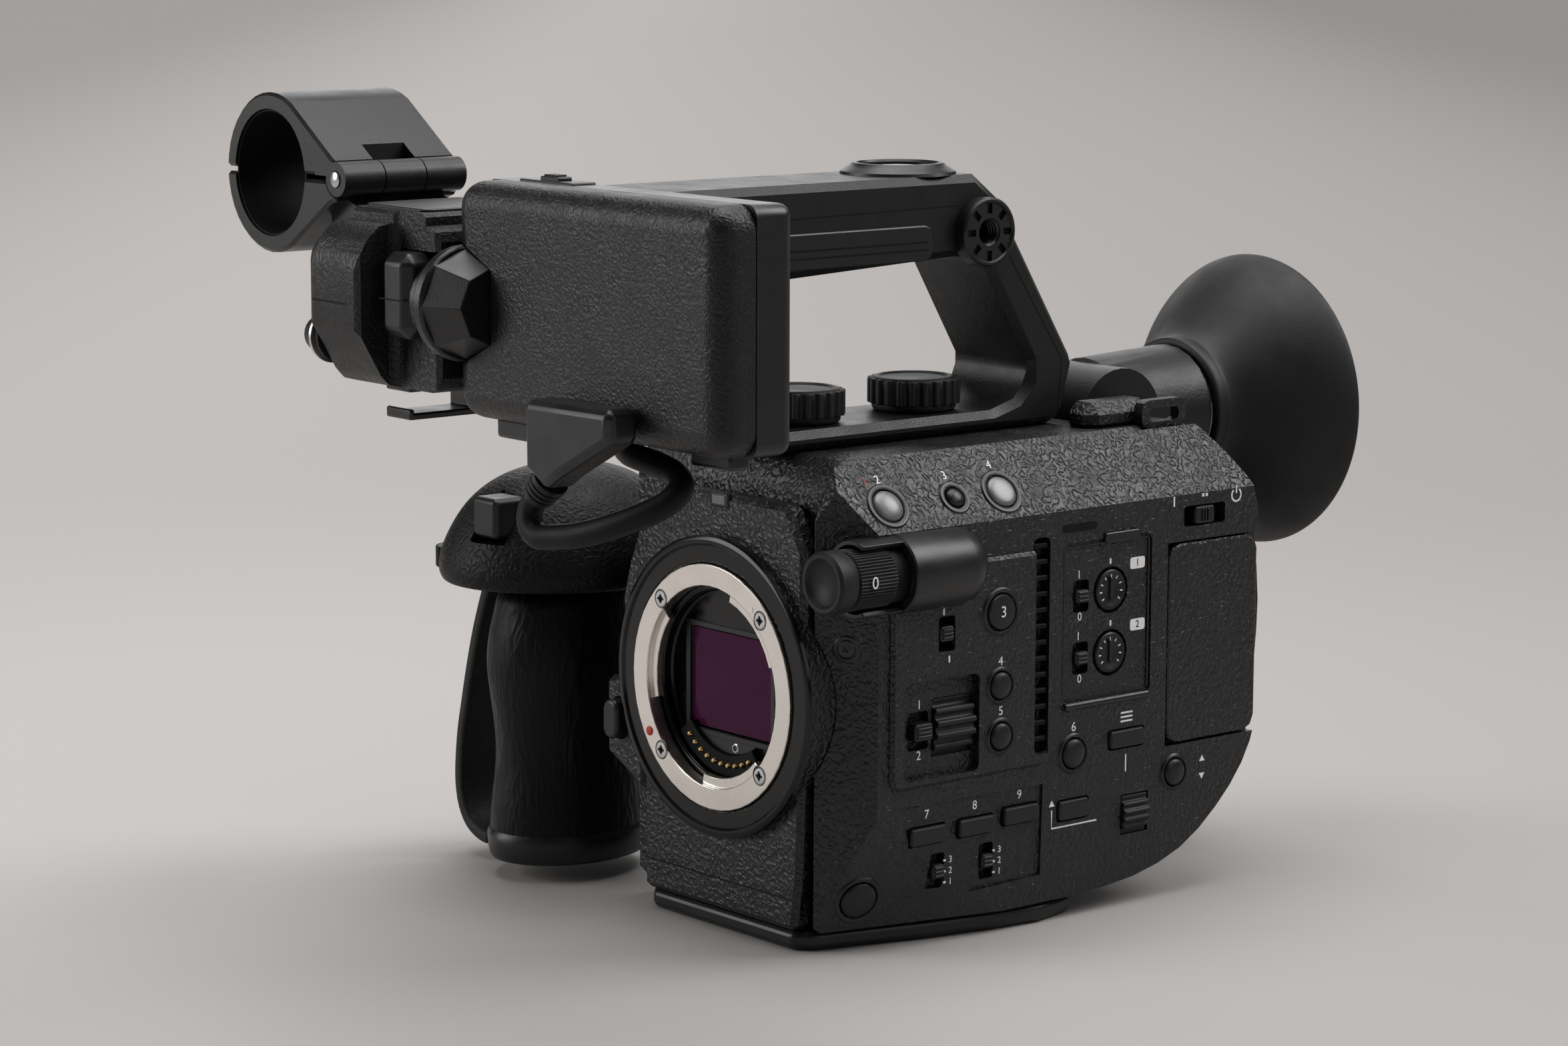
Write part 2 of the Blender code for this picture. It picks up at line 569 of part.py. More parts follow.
def buttons(cover):
    for name, (y, z, across) in ROUND_BUTTONS.items():
        face = face_at(y, z)
        bottom = face - KEY_DEEP
        deep = bottom - TRAVEL - FIT
        pocket_round(cover, name, (deep, y, z), (1, 0, 0), across / 2, face + 1 - deep)
        pivot(turned(name, (bottom, y, z), (1, 0, 0), across / 2, across / 2, face + PROUD - bottom, KEY,
                     sides=16, edge=0.5), (face, y, z))
    bottom = SIDE - KEY_DEEP
    deep = bottom - TRAVEL - FIT
    for name, (y, z, wide, tall) in KEYS.items():
        low, high = (y - wide / 2, z - tall / 2), (y + wide / 2, z + tall / 2)
        bigger = rounded((low[0] - FIT, low[1] - FIT), (high[0] + FIT, high[1] + FIT), 1.0)
        cut(cover, slab(name + "_pocket", bigger, "x", deep, SIDE + 1, cutter=True))
        pivot(slab(name, rounded(low, high, 0.8), "x", bottom, SIDE + PROUD, KEY, edge=0.4), (SIDE, y, z))
    for name, (y, z, wide, tall, travel, axis) in SWITCHES.items():
        more_y = travel if axis == "y" else 0.0
        more_z = travel if axis == "z" else 0.0
        slot = rounded((y - wide / 2 - FIT - more_y, z - tall / 2 - FIT - more_z),
                       (y + wide / 2 + FIT + more_y, z + tall / 2 + FIT + more_z), 0.8)
        face = face_at(y, z)
        cut(cover, slab(name + "_slot", slot, "x", bottom - GAP, face + 1, cutter=True))
        pivot(slab(name, rounded((y - wide / 2, z - tall / 2), (y + wide / 2, z + tall / 2), 0.6), "x",
                   bottom, face + PROUD - 0.5, KEY, edge=0.4), (face, y, z))
    for name, (y, z) in AUDIO_DIALS.items():
        pocket_round(cover, name, (bottom - GAP, y, z), (1, 0, 0), AUDIO_DIAL + 0.5, SIDE + 1 - bottom)
        pivot(turned(name, (bottom, y, z), (1, 0, 0), AUDIO_DIAL, AUDIO_DIAL, SIDE - 0.2 - bottom, KEY,
                     sides=16, edge=0.4), (SIDE, y, z))
    out = CHAMFER_OUT
    middle = Vector((SIDE - CHAMFER_IN * 0.36, 0, CHAMFER_LOW + (BODY_HIGH - CHAMFER_LOW) * 0.36))
    for name, (y, radius) in CHAMFER_BUTTONS.items():
        face = middle + Vector((0, y, 0))
        pocket_round(cover, name, face - out * (KEY_DEEP + TRAVEL + FIT), out, radius, 9.0)
        pivot(turned(name, face - out * KEY_DEEP, out, radius, radius, KEY_DEEP + PROUD, KEY, sides=16,
                     edge=0.5), face)
    out = Vector(scoop_turn().col[0][:3])
    face = Vector(WB_SET)
    pocket_round(cover, "wb_set_button", face - out * (WB_SET_DEEP + TRAVEL + FIT), out, WB_SET_RADIUS, 12.0)
    pivot(turned("wb_set_button", face - out * WB_SET_DEEP, out, WB_SET_RADIUS, WB_SET_RADIUS,
                 WB_SET_DEEP + PROUD, KEY, sides=16, edge=0.5), face)


def wheels(cover):
    for wheel in (IRIS_WHEEL, SELECT_WHEEL):
        radius, width = wheel["radius"], wheel["width"]
        centre_x = SIDE + wheel["proud"] - radius
        start = wheel["y"] - width / 2
        cut(cover, turned(wheel["name"] + "_slot", (centre_x, start - FIT, wheel["z"]), (0, 1, 0),
                          radius + FIT, radius + FIT, width + 2 * FIT, sides=32, cutter=True))
        pivot(turned(wheel["name"], (centre_x, start, wheel["z"]), (0, 1, 0), radius, radius, width, RUBBER,
                     sides=32, edge=0.6), (centre_x, wheel["y"], wheel["z"]))


def nd_dial():
    dial = turned("nd_dial", (ND_X, ND_FRONT, ND_Z), (0, 1, 0), ND_RADIUS, ND_RADIUS, ND_BACK - ND_FRONT,
                  RUBBER, sides=24, edge=0.8)
    pivot(dial, (ND_X, (ND_FRONT + ND_BACK) / 2, ND_Z))


def top_handle():
    low = BODY_HIGH + GAP
    outline = [(-66.0, low), (28.0, low), (31.0, 125.0), (34.5, 137.5), (12.5, 172.5), (7.5, 181.0),
               (-1.0, BAR_HIGH), (BAR_FRONT, BAR_HIGH), (BAR_FRONT, BAR_LOW - 3.0), (-60.0, BAR_LOW - 1.5),
               (-6.0, BAR_LOW + 1.0), (2.0, BAR_LOW), (18.5, 138.5), (18.5, 133.5), (14.0, 129.0),
               (6.0, PLATE_TOP), (-66.0, PLATE_TOP)]
    made = slab("handle_frame", outline, "x", -HANDLE_HALF, HANDLE_HALF, SHELL, edge=2.0)
    join(made, turned("handle_rosette", (HANDLE_HALF - 1, ROSETTE_Y, ROSETTE_Z), (1, 0, 0), ROSETTE,
                      ROSETTE, 3.5, TRIM, cutter=True))
    cut(made, turned("rosette_thread", (HANDLE_HALF - 4, ROSETTE_Y, ROSETTE_Z), (1, 0, 0), 3.2, 3.2, 9.0,
                     sides=20, cutter=True))
    for name, y in KNOBS_Y.items():
        pivot(turned(name, (0, y, PLATE_TOP + GAP), (0, 0, 1), KNOB_RADIUS, KNOB_RADIUS, KNOB_HIGH, RUBBER,
                     sides=24, edge=1.0), (0, y, PLATE_TOP))
    y, radius, high = REC_DISC["y"], REC_DISC["radius"], REC_DISC["high"]
    pocket_round(made, "handle_record_button", (0, y, BAR_HIGH - 3.2), (0, 0, 1), radius, 9.0)
    pivot(turned("handle_record_button", (0, y, BAR_HIGH - 1.6), (0, 0, 1), radius, radius, high, KEY,
                 sides=24, edge=0.6), (0, y, BAR_HIGH))


def front_block():
    x0, x1 = BLOCK_X
    z0, z1 = BLOCK_Z
    rear = BAR_FRONT - GAP
    outline = [(BLOCK_FRONT + 8.0, z0), (rear - 6.0, z0), (rear, z0 + 10.0), (rear, z1),
               (BLOCK_FRONT + 6.0, z1), (BLOCK_FRONT, z1 - 7.0), (BLOCK_FRONT, z0 + 14.0)]
    made = slab("handle_front_block", outline, "x", x0, x1, SHELL, edge=3.5, steps=2)
    wide, deep = CORNER_CUT
    corner = [(x1 - wide, BLOCK_FRONT - 1.0), (x1 + 1.0, BLOCK_FRONT - 1.0), (x1 + 1.0, BLOCK_FRONT + deep)]
    cut(made, slab("clamp_corner", corner, "z", z0 - 5.0, z1 + 5.0, cutter=True))
    shoe = box("shoe_plate", (x0 + 5.0, BLOCK_FRONT + 10.0, z1 - 2.0),
               (x1 - 5.0, rear - 8.0, z1 + SHOE_THICK), TRIM, edge=1.0, cutter=True)
    knob = turned("tally_knob", (x0 + 2.0, BLOCK_FRONT + 8.0, z0 + 10.5), (-1, 0, 0), 6.0, 4.2, 8.5, TRIM,
                  sides=24, cutter=True)
    join(made, shoe, knob)
    lead = cable_route()[-1]
    cut(made, turned("cable_gland", (x1 - 3.0, lead[1], lead[2]), (1, 0, 0), CABLE_RADIUS + FIT,
                     CABLE_RADIUS + FIT, 8.0, sides=16, cutter=True))
    front = BLOCK_FRONT + CLIP_SET
    rear = front + CLIP_LONG
    top = z0 - GAP
    arm_low = top - CLIP_THICK
    floor_top = arm_low - CLIP_GAP
    floor_low = floor_top - CLIP_THICK
    lip_back, lip_top = front + CLIP_LIP[0], floor_top + CLIP_LIP[1]
    hook = [(front, floor_low), (rear, floor_low), (rear, top), (front, top), (front, arm_low),
            (rear - CLIP_THICK, arm_low), (rear - CLIP_THICK, floor_top), (lip_back, floor_top),
            (lip_back, lip_top), (front, lip_top)]
    slab("cable_clip", hook, "x", CLIP_X[0], CLIP_X[1], TRIM)


def mic_holder():
    y0, y1 = MIC_Y
    pin = (MIC_PIN_X, MIC_Z)
    upper = arc((MIC_X, MIC_Z), MIC_OUT, 180.0, 62.0, 12)
    upper += [(MIC_PIN_X - 3.0, MIC_Z + 5.5), (MIC_PIN_X, MIC_Z + 3.6)]
    lower = arc((MIC_X, MIC_Z), MIC_OUT, 180.0, 298.0, 12)
    lower += [(MIC_PIN_X - 3.0, MIC_Z - 6.0), (MIC_PIN_X, MIC_Z - 5.0)]
    halves = {}
    for name, outline, side in (("mic_holder_upper", upper, 1), ("mic_holder_lower", lower, -1)):
        split = MIC_Z + side * MIC_SPLIT / 2
        points = [p for p in outline if (p[1] - split) * side > 0]
        shape = [(MIC_X - MIC_OUT, split)] + points + [(MIC_PIN_X, split)]
        halves[name] = slab(name, shape if side < 0 else shape[::-1], "y", y0, y1, TRIM, edge=0.8)
        cut(halves[name], turned(name + "_bore", (MIC_X, y0 - 1, MIC_Z), (0, 1, 0), MIC_BORE, MIC_BORE,
                                 y1 - y0 + 2, sides=48, cutter=True),
            turned(name + "_pin_room", (pin[0], y0 - 1, pin[1]), (0, 1, 0), MIC_KNUCKLE + GAP,
                   MIC_KNUCKLE + GAP, y1 - y0 + 2, sides=24, cutter=True))
    third = (y1 - y0) / 3
    ends = [turned(f"upper_knuckle_{i}", (pin[0], y0 + i * 2 * third, pin[1]), (0, 1, 0), MIC_KNUCKLE,
                   MIC_KNUCKLE, third - GAP, TRIM, sides=24, cutter=True) for i in (0, 1)]
    webs = [box(f"upper_web_{i}", (MIC_PIN_X - 9.0, y0 + i * 2 * third, MIC_Z + MIC_SPLIT / 2),
                (MIC_PIN_X, y0 + i * 2 * third + third - GAP, MIC_Z + MIC_KNUCKLE - 0.2), TRIM, cutter=True)
            for i in (0, 1)]
    join(halves["mic_holder_upper"], *ends, *webs)
    cut(halves["mic_holder_upper"],
        turned("pin_bore", (pin[0], y0 - 1, pin[1]), (0, 1, 0), MIC_PIN + GAP, MIC_PIN + GAP, y1 - y0 + 2,
               sides=16, cutter=True))
    cut(halves["mic_holder_upper"],
        box("hinge_window", (MIC_PIN_X - MIC_WINDOW[0], y0 + third - GAP, MIC_Z),
            (MIC_PIN_X + 2 * MIC_KNUCKLE, y0 + 2 * third, MIC_Z + MIC_WINDOW[1]), cutter=True))
    middle = turned("lower_knuckle", (pin[0], y0 + third, pin[1]), (0, 1, 0), MIC_KNUCKLE, MIC_KNUCKLE,
                    third - GAP, TRIM, sides=24, cutter=True)
    web = box("lower_web", (MIC_PIN_X - 9.0, y0 + third, MIC_Z - MIC_KNUCKLE + 0.2),
              (MIC_PIN_X, y0 + 2 * third - GAP, MIC_Z - MIC_SPLIT / 2), TRIM, cutter=True)
    rod = turned("hinge_pin", (pin[0], y0, pin[1]), (0, 1, 0), MIC_PIN, MIC_PIN, y1 - y0, STEEL, sides=16,
                 cutter=True)
    foot = [(MIC_PIN_X - 8.0, MIC_Z - 5.0), (MIC_PIN_X - 8.0, MIC_Z - 16.0),
            (BLOCK_X[0] - GAP, BLOCK_Z[1] - 14.0), (BLOCK_X[0] - GAP, BLOCK_Z[1] - 0.5),
            (MIC_PIN_X - 1.0, MIC_Z - 5.0)]
    stem = slab("holder_stem", foot, "y", y0 + 4.0, y1 - 4.0, TRIM, cutter=True)
    join(halves["mic_holder_lower"], stem, middle, web, rod)
    pivot(halves["mic_holder_upper"], (MIC_PIN_X, (y0 + y1) / 2, MIC_Z))


def monitor():
    x0, x1 = LCD_X
    z0, z1 = LCD_Z
    past = 12.0
    neck_start = CLAMP_X[1] + GAP
    neck = (neck_start, LCD_AXIS_Y, LCD_AXIS_Z)
    ring = (CONE_RING[0], LCD_AXIS_Y, LCD_AXIS_Z)
    taper = (CONE_RING[1], LCD_AXIS_Y, LCD_AXIS_Z)
    shell = box("lcd_back_shell", (x0, LCD_BACK, z0), (x1, LCD_SEAM + past, z1), SHELL, edge=3.0)
    bezel = box("lcd_bezel", (x0, LCD_SEAM - past, z0), (x1, LCD_FACE, z1), TRIM, edge=2.0)
    cut(shell, box("behind_seam", (x0 - 1, LCD_SEAM, z0 - 1), (x1 + 1, LCD_FACE + past, z1 + 1), cutter=True))
    cut(bezel, box("before_seam", (x0 - 1, LCD_BACK - past, z0 - 1), (x1 + 1, LCD_SEAM + GAP, z1 + 1),
                   cutter=True))
    room = CONE_RADIUS + GAP
    notch = turned("ring_notch", neck, (1, 0, 0), room, room, CONE_RING[1] - neck_start + GAP, sides=32,
                   cutter=True)
    taper_notch = turned("taper_notch", taper, (1, 0, 0), room, CONE_TIP + GAP,
                         CONE_END - CONE_RING[1] + GAP, sides=32,
                         cutter=True)
    screen = rounded((x0 + 14.0, z0 + 5.0), (x1 - 4.0, z1 - 4.0), 1.5)
    glass = LCD_FACE - 0.6
    cut(shell, notch, taper_notch)
    cut(bezel, notch, taper_notch, slab("screen_recess", screen, "y", glass - 1.2 - GAP, LCD_FACE + 1,
                                        cutter=True))
    inner = rounded((x0 + 14.0 + GAP, z0 + 5.0 + GAP), (x1 - 4.0 - GAP, z1 - 4.0 - GAP), 1.3)
    slab("lcd_screen", inner, "y", glass - 1.2, glass, GLASS)
    cone = turned("lcd_hinge_cone", ring, (1, 0, 0), CONE_RADIUS, CONE_RADIUS, CONE_RING[1] - CONE_RING[0],
                  TRIM, sides=32, edge=0.6)
    join(cone, turned("hinge_taper", (taper[0] - 1.0, *taper[1:]), (1, 0, 0), CONE_RADIUS, CONE_TIP,
                      CONE_END - taper[0] + 1.0, TRIM, sides=CONE_FACETS, cutter=True),
         turned("hinge_neck", neck, (1, 0, 0), NECK_RADIUS, NECK_RADIUS, CONE_RING[0] + 1.0 - neck_start,
                TRIM, cutter=True))
    plug_outline = [(81.5, 148.0), (81.5, 140.5), (63.0, 131.0), (57.5, 127.5), (50.0, 131.5), (50.0, 147.5)]
    plug = slab("lcd_plug", plug_outline, "y", LCD_BACK - GAP - PLUG_THICK, LCD_BACK - GAP, TRIM, edge=1.6)
    for piece in (shell, bezel, bpy.data.objects["lcd_screen"], cone, plug):
        pivot(piece, (x0, LCD_AXIS_Y, LCD_AXIS_Z))
    box("lcd_clamp", (CLAMP_X[0], CLAMP_Y[0], CLAMP_Z[0]), (CLAMP_X[1], CLAMP_Y[1], CLAMP_Z[1]), TRIM,
        edge=2.5)
    block = bpy.data.objects["handle_front_block"]
    cut(block, box("clamp_seat", (CLAMP_X[0] - GAP, BLOCK_FRONT - 5.0, CLAMP_Z[0] - GAP),
                   (BLOCK_X[1] + 5, CLAMP_Y[1] + GAP, CLAMP_Z[1] + GAP), cutter=True))
    cut(block, turned("neck_room", (CLAMP_X[1], LCD_AXIS_Y, LCD_AXIS_Z), (1, 0, 0), NECK_RADIUS + FIT,
                      NECK_RADIUS + FIT, 8.0, sides=32, cutter=True))


def cable_route():
    """The route of the monitor's cable from its plug to the front block, chosen by hand."""
    return [Vector(p) for p in ((53.4, -163.8, 128.6), (50.4, -164.2, 125.6), (46.8, -164.8, 122.2),
                                (46.2, -165.2, 119.4), (50.2, -165.4, 117.6), (58.0, -165.2, 117.4),
                                (66.0, -164.6, 118.6), (74.0, -162.8, 121.0), (81.0, -159.4, 124.0),
                                (85.4, -155.4, 127.0), (85.4, -151.4, 130.0), (81.0, -149.4, 132.4),
                                (74.5, -149.2, 133.8), (67.0, -148.8, 134.5), (60.0, -146.4, 134.8),
                                (52.0, -141.2, 135.2), (45.0, -135.4, 136.4), (37.0, -130.4, 138.8),
                                (28.0, -127.3, 142.0), (19.0, -126.1, 144.4), (12.0, -126.0, 145.4),
                                (6.0, -126.0, 145.4))]


def cable():
    route = cable_route()
    curve = bpy.data.curves.new("lcd_cable", "CURVE")
    curve.dimensions = "3D"
    curve.fill_mode = "FULL"
    curve.bevel_depth = CABLE_RADIUS * MM
    curve.bevel_resolution = 2
    curve.use_fill_caps = True
    curve.resolution_u = 1
    points = smooth(route, 2)
    spline = curve.splines.new("POLY")
    spline.points.add(len(points) - 1)
    for point, at in zip(spline.points, points):
        point.co = (*(at * MM), 1)
    made = bpy.data.objects.new("lcd_cable", curve)
    PARTS.objects.link(made)
    curve.materials.append(RUBBER)


def grip():
    low = GRIP_TOP + GAP
    dome = [(low, 30.0, 34.5), (low + 4.0, 31.0, 35.5), (91.0, 29.0, 33.0), (99.0, 24.0, 28.0),
            (105.5, 17.0, 21.0), (109.5, 8.5, 11.0)]
    head = loft("grip_head", dome, (GRIP_X, GRIP_Y), SHELL)
    arm = turned("grip_rosette", (RIGHT - GAP, GRIP_AXIS_Y, GRIP_AXIS_Z), (-1, 0, 0), GRIP_ROSETTE * 0.6,
                 GRIP_ROSETTE * 0.6, 20.0, TRIM, cutter=True)
    join(head, arm)
    levels = [(GRIP_LOW, 17.0, 22.0), (14.0, 17.5, 23.0), (30.0, 15.5, 20.5), (46.0, 16.5, 22.0),
              (58.0, 18.0, 23.5), (GRIP_TOP, 15.0, 20.0)]
    handle = loft("grip_handle", levels, (GRIP_X, GRIP_Y), RUBBER)
    path = [(-95.0, GRIP_TOP - 2.0), (-100.5, 62.0), (-106.0, 42.0), (-109.0, 26.0), (-108.5, 14.0),
            (-103.5, 7.4), (-95.4, 5.8)]
    strap = slab("hand_strap", band(path, STRAP_THICK), "y", STRAP_Y[0], STRAP_Y[1], RUBBER, edge=0.8)
    x, y, half = GRIP_CAP["x"], GRIP_CAP["y"], GRIP_CAP["half"]
    z0, z1 = GRIP_CAP["z"]
    cap = box("grip_cap_button", (x - half, y - half, z0), (x + half, y + half, z1), KEY, edge=1.0)
    room = half + FIT
    cut(head, box("cap_pocket", (x - room, y - room, z0 - TRAVEL - FIT), (x + room, y + room, z1 + 9.0),
                  cutter=True))
    dial_at = (GRIP_DIAL["x"], GRIP_DIAL["y"], GRIP_DIAL["z"])
    radius, high = GRIP_DIAL["radius"], GRIP_DIAL["high"]
    dial = turned("grip_dial", dial_at, (0, 0, 1), radius, radius, high, RUBBER, edge=0.6)
    cut(head, turned("dial_room", (dial_at[0], dial_at[1], dial_at[2] - GAP), (0, 0, 1), radius + FIT,
                     radius + FIT, high + 2 * GAP, cutter=True))
    for piece in (head, handle, strap):
        pivot(piece, (RIGHT, GRIP_AXIS_Y, GRIP_AXIS_Z))
    pivot(cap, (x, y, z1))
    pivot(dial, dial_at)


def loft(name, levels, centre, finish, sides=28):
    """A handle built from oval sections: height, half width and half depth."""
    shape = bmesh.new()
    rings = []
    for z, half_x, half_y in levels:
        ring = []
        for i in range(sides):
            turn = 2 * math.pi * i / sides
            at = (centre[0] + half_x * math.cos(turn), centre[1] + half_y * math.sin(turn), z)
            ring.append(shape.verts.new(Vector(at) * MM))
        rings.append(ring)
    for lower, upper in zip(rings, rings[1:]):
        for i in range(sides):
            j = (i + 1) % sides
            shape.faces.new((lower[i], lower[j], upper[j], upper[i]))
    shape.faces.new(rings[0][::-1])
    shape.faces.new(rings[-1])
    mesh = bpy.data.meshes.new(name)
    shape.to_mesh(mesh)
    shape.free()
    mesh.shade_smooth()
    mesh.set_sharp_from_angle(angle=math.radians(35))
    return place(name, mesh, finish)


def viewfinder():
    tube = turned("viewfinder_tube", (0, VF_Y + 2.0, VF_Z), (0, 1, 0), VF_TUBE - 1.5, VF_TUBE,
                  VF_TUBE_END - VF_Y - 2.0, TRIM, edge=0.8)
    join(tube, turned("vf_knuckle", (-VF_HALF, VF_Y, VF_Z), (1, 0, 0), VF_KNUCKLE, VF_KNUCKLE, 2 * VF_HALF,
                      TRIM, sides=32, cutter=True))
    start = VF_TUBE_END + GAP
    neck = VF_TUBE + 1.5
    cup = turned("eyecup", (0, start, VF_Z), (0, 1, 0), neck, CUP_RIM, CUP_END - start, RUBBER, sides=40)
    cut(cup, turned("cup_hollow", (0, start + 3.0, VF_Z), (0, 1, 0), neck - CUP_WALL,
                    CUP_RIM - CUP_WALL + 0.4, CUP_END - start - 2.5, sides=40, cutter=True))
    lens_start = start + 3.0 + GAP
    lens = turned("eyepiece_lens", (0, lens_start, VF_Z), (0, 1, 0), 13.0, 12.0, 3.0, GLASS, sides=32)
    for piece in (tube, cup, lens):
        pivot(piece, (0, VF_Y, VF_Z))


base_plate()
front_plate()
lens_mount()
main_casing()
left_cover()
nd_dial()
top_handle()
front_block()
mic_holder()
monitor()
cable()
grip()
viewfinder()
print("sub-parts:", len(PARTS.objects))
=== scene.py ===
# %% [markdown]
# # A handheld cinema camera rig
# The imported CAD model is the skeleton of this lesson: a body with an open lens mount, a top handle with a
# tilting monitor and a microphone holder, a turning side grip and a tilting viewfinder. Here each visible
# surface gets its finish, and the soft and knurled pieces get their full form. Nothing moves or changes size.

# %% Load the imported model
import json
import math

import bpy
from mathutils import Matrix, Vector


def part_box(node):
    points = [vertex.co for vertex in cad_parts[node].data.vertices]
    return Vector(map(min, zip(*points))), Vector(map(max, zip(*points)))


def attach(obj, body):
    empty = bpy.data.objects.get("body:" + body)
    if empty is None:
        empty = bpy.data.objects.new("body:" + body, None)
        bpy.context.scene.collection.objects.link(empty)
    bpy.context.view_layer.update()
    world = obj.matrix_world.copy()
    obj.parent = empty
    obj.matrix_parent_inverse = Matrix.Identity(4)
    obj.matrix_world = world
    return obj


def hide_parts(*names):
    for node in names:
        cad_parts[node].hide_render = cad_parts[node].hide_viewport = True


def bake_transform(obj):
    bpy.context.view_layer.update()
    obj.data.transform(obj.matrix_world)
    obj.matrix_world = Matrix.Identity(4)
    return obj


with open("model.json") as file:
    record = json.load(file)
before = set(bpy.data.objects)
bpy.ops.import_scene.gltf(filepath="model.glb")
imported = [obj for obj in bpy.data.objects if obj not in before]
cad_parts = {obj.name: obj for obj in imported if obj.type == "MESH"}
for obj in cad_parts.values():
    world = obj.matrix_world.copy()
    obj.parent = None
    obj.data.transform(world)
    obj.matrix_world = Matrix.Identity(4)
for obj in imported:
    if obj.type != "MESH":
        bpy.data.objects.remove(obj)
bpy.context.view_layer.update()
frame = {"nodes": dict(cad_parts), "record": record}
nodes = frame["nodes"]
record = frame["record"]
body_of = {node: body for body, members in record["behaviour"]["bodies"].items() for node in members}
slot_of = {part["node"]: part["material_slot"] for part in record["subparts"]}
MM = 0.001
RIGHT, BACK, UP = Vector((1, 0, 0)), Vector((0, 1, 0)), Vector((0, 0, 1))

# %% [markdown]
# ## The camera
# The photograph was taken with a long lens from in front of the control side, a little above the handle's
# foot.

# %% Set up the camera
AZIMUTH, ELEVATION, ROLL = (math.radians(angle) for angle in (50.222, 9.166, 0.163))
CAMERA_AT = Vector((766.8, -689.5, 262.5)) * MM
bpy.ops.object.select_all(action="DESELECT")
bpy.ops.object.camera_add(location=CAMERA_AT)
camera = bpy.context.object
camera.data.sensor_width = 36.0
camera.data.lens = 92.58
camera.data.clip_start = 0.01
turn = Matrix.Rotation(AZIMUTH, 4, "Z") @ Matrix.Rotation(math.pi / 2 - ELEVATION, 4, "X")
camera.matrix_world = Matrix.Translation(CAMERA_AT) @ turn @ Matrix.Rotation(ROLL, 4, "Z")
bpy.context.scene.camera = camera
print("camera at", tuple(round(value, 3) for value in CAMERA_AT))

# %% [markdown]
# ## Working by hand in code
# An operator acts on everything that is selected, so each helper first selects its own piece alone. Sizes
# are in millimetres, and the helpers turn them into metres. A finished piece has its place in its mesh.


# %% Helpers for selecting and applying
def only(*pieces):
    bpy.ops.object.select_all(action="DESELECT")
    for piece in pieces:
        piece.select_set(True)
    bpy.context.view_layer.objects.active = pieces[0]


def baked(piece):
    """Puts a piece's place, turn and size into its mesh."""
    only(piece)
    bpy.ops.object.transform_apply(location=True, rotation=True, scale=True)
    return piece


def named(name):
    """Names the object that was just added."""
    piece = bpy.context.object
    piece.name = name
    piece.data.name = name
    return baked(piece)


def apply_all(piece):
    only(piece)
    for modifier in list(piece.modifiers):
        bpy.ops.object.modifier_apply(modifier=modifier.name)
    return piece


def soften(piece, edge, steps=2, angle=40):
    """Rounds the sharp edges, so that they catch the light as moulded edges do."""
    only(piece)
    bpy.ops.object.shade_smooth_by_angle(angle=math.radians(angle))
    bevel = piece.modifiers.new("soft_edges", "BEVEL")
    bevel.width = edge * MM
    bevel.segments = steps
    bevel.limit_method = "ANGLE"
    bevel.angle_limit = math.radians(angle)
    piece.modifiers.new("even_shading", "WEIGHTED_NORMAL").keep_sharp = True
    return apply_all(piece)


def smoothed(piece, levels):
    """Subdivides a form into a smooth one."""
    smooth = piece.modifiers.new("smooth_form", "SUBSURF")
    smooth.levels = levels
    smooth.render_levels = levels
    return apply_all(piece)


def carve(piece, *cutters):
    """Cuts other pieces out of this one and removes them."""
    for cutter in cutters:
        step = piece.modifiers.new("carve", "BOOLEAN")
        step.operation = "DIFFERENCE"
        step.solver = "EXACT"
        step.object = cutter
        apply_all(piece)
        bpy.data.objects.remove(cutter)
    return piece


def gather(name, pieces):
    only(*pieces)
    bpy.ops.object.join()
    pieces[0].name = name
    pieces[0].data.name = name
    return pieces[0]


def paint(piece, material):
    piece.data.materials.clear()
    piece.data.materials.append(material)


def settle(piece, material, body="root", angle=35):
    """Gives a finished piece its material and the body that it rides on."""
    only(piece)
    bpy.ops.object.shade_smooth_by_angle(angle=math.radians(angle))
    paint(piece, material)
    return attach(piece, body)


def stand_in(piece, material, node, angle=35):
    """Settles a piece that takes a CAD node's place, with that node's body, and hides the node."""
    settle(piece, material, body_of[node], angle)
    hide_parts(node)
    return piece


def span(node):
    """The lower corner, the middle and the upper corner of a CAD node."""
    low, high = (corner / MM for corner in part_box(node))
    return low, (low + high) / 2, high


print("selecting helpers ready")

# %% [markdown]
# Most small pieces are blocks, rods, flat plates or turned shapes. A block or a rod is a primitive, a plate
# is an outline that is extruded, and a turned shape is a profile that is spun round an axis, as on a lathe.
# A few numbers then say all there is to say about a piece, and they are easy to change.


# %% Helpers for blocks, rods, plates and turned shapes
def block(name, low, high, edge=0.0, steps=2):
    low, high = Vector(low) * MM, Vector(high) * MM
    bpy.ops.object.select_all(action="DESELECT")
    bpy.ops.mesh.primitive_cube_add(size=1.0, location=(low + high) / 2, scale=high - low)
    piece = named(name)
    return soften(piece, edge, steps) if edge else piece


def rod(name, start, end, radius, tip=None, edge=0.0, sides=40):
    start, end = Vector(start) * MM, Vector(end) * MM
    along = end - start
    bpy.ops.object.select_all(action="DESELECT")
    bpy.ops.mesh.primitive_cone_add(vertices=sides, radius1=radius * MM, radius2=(tip or radius) * MM,
                                    depth=along.length, location=(start + end) / 2,
                                    rotation=along.to_track_quat("Z", "Y").to_euler())
    piece = named(name)
    return soften(piece, edge) if edge else piece


def sketch(name, points, edges, faces):
    """A new object from a few points, as a start for an operator."""
    mesh = bpy.data.meshes.new(name)
    mesh.from_pydata([Vector(point) * MM for point in points], edges, faces)
    piece = bpy.data.objects.new(name, mesh)
    bpy.context.scene.collection.objects.link(piece)
    only(piece)
    return piece


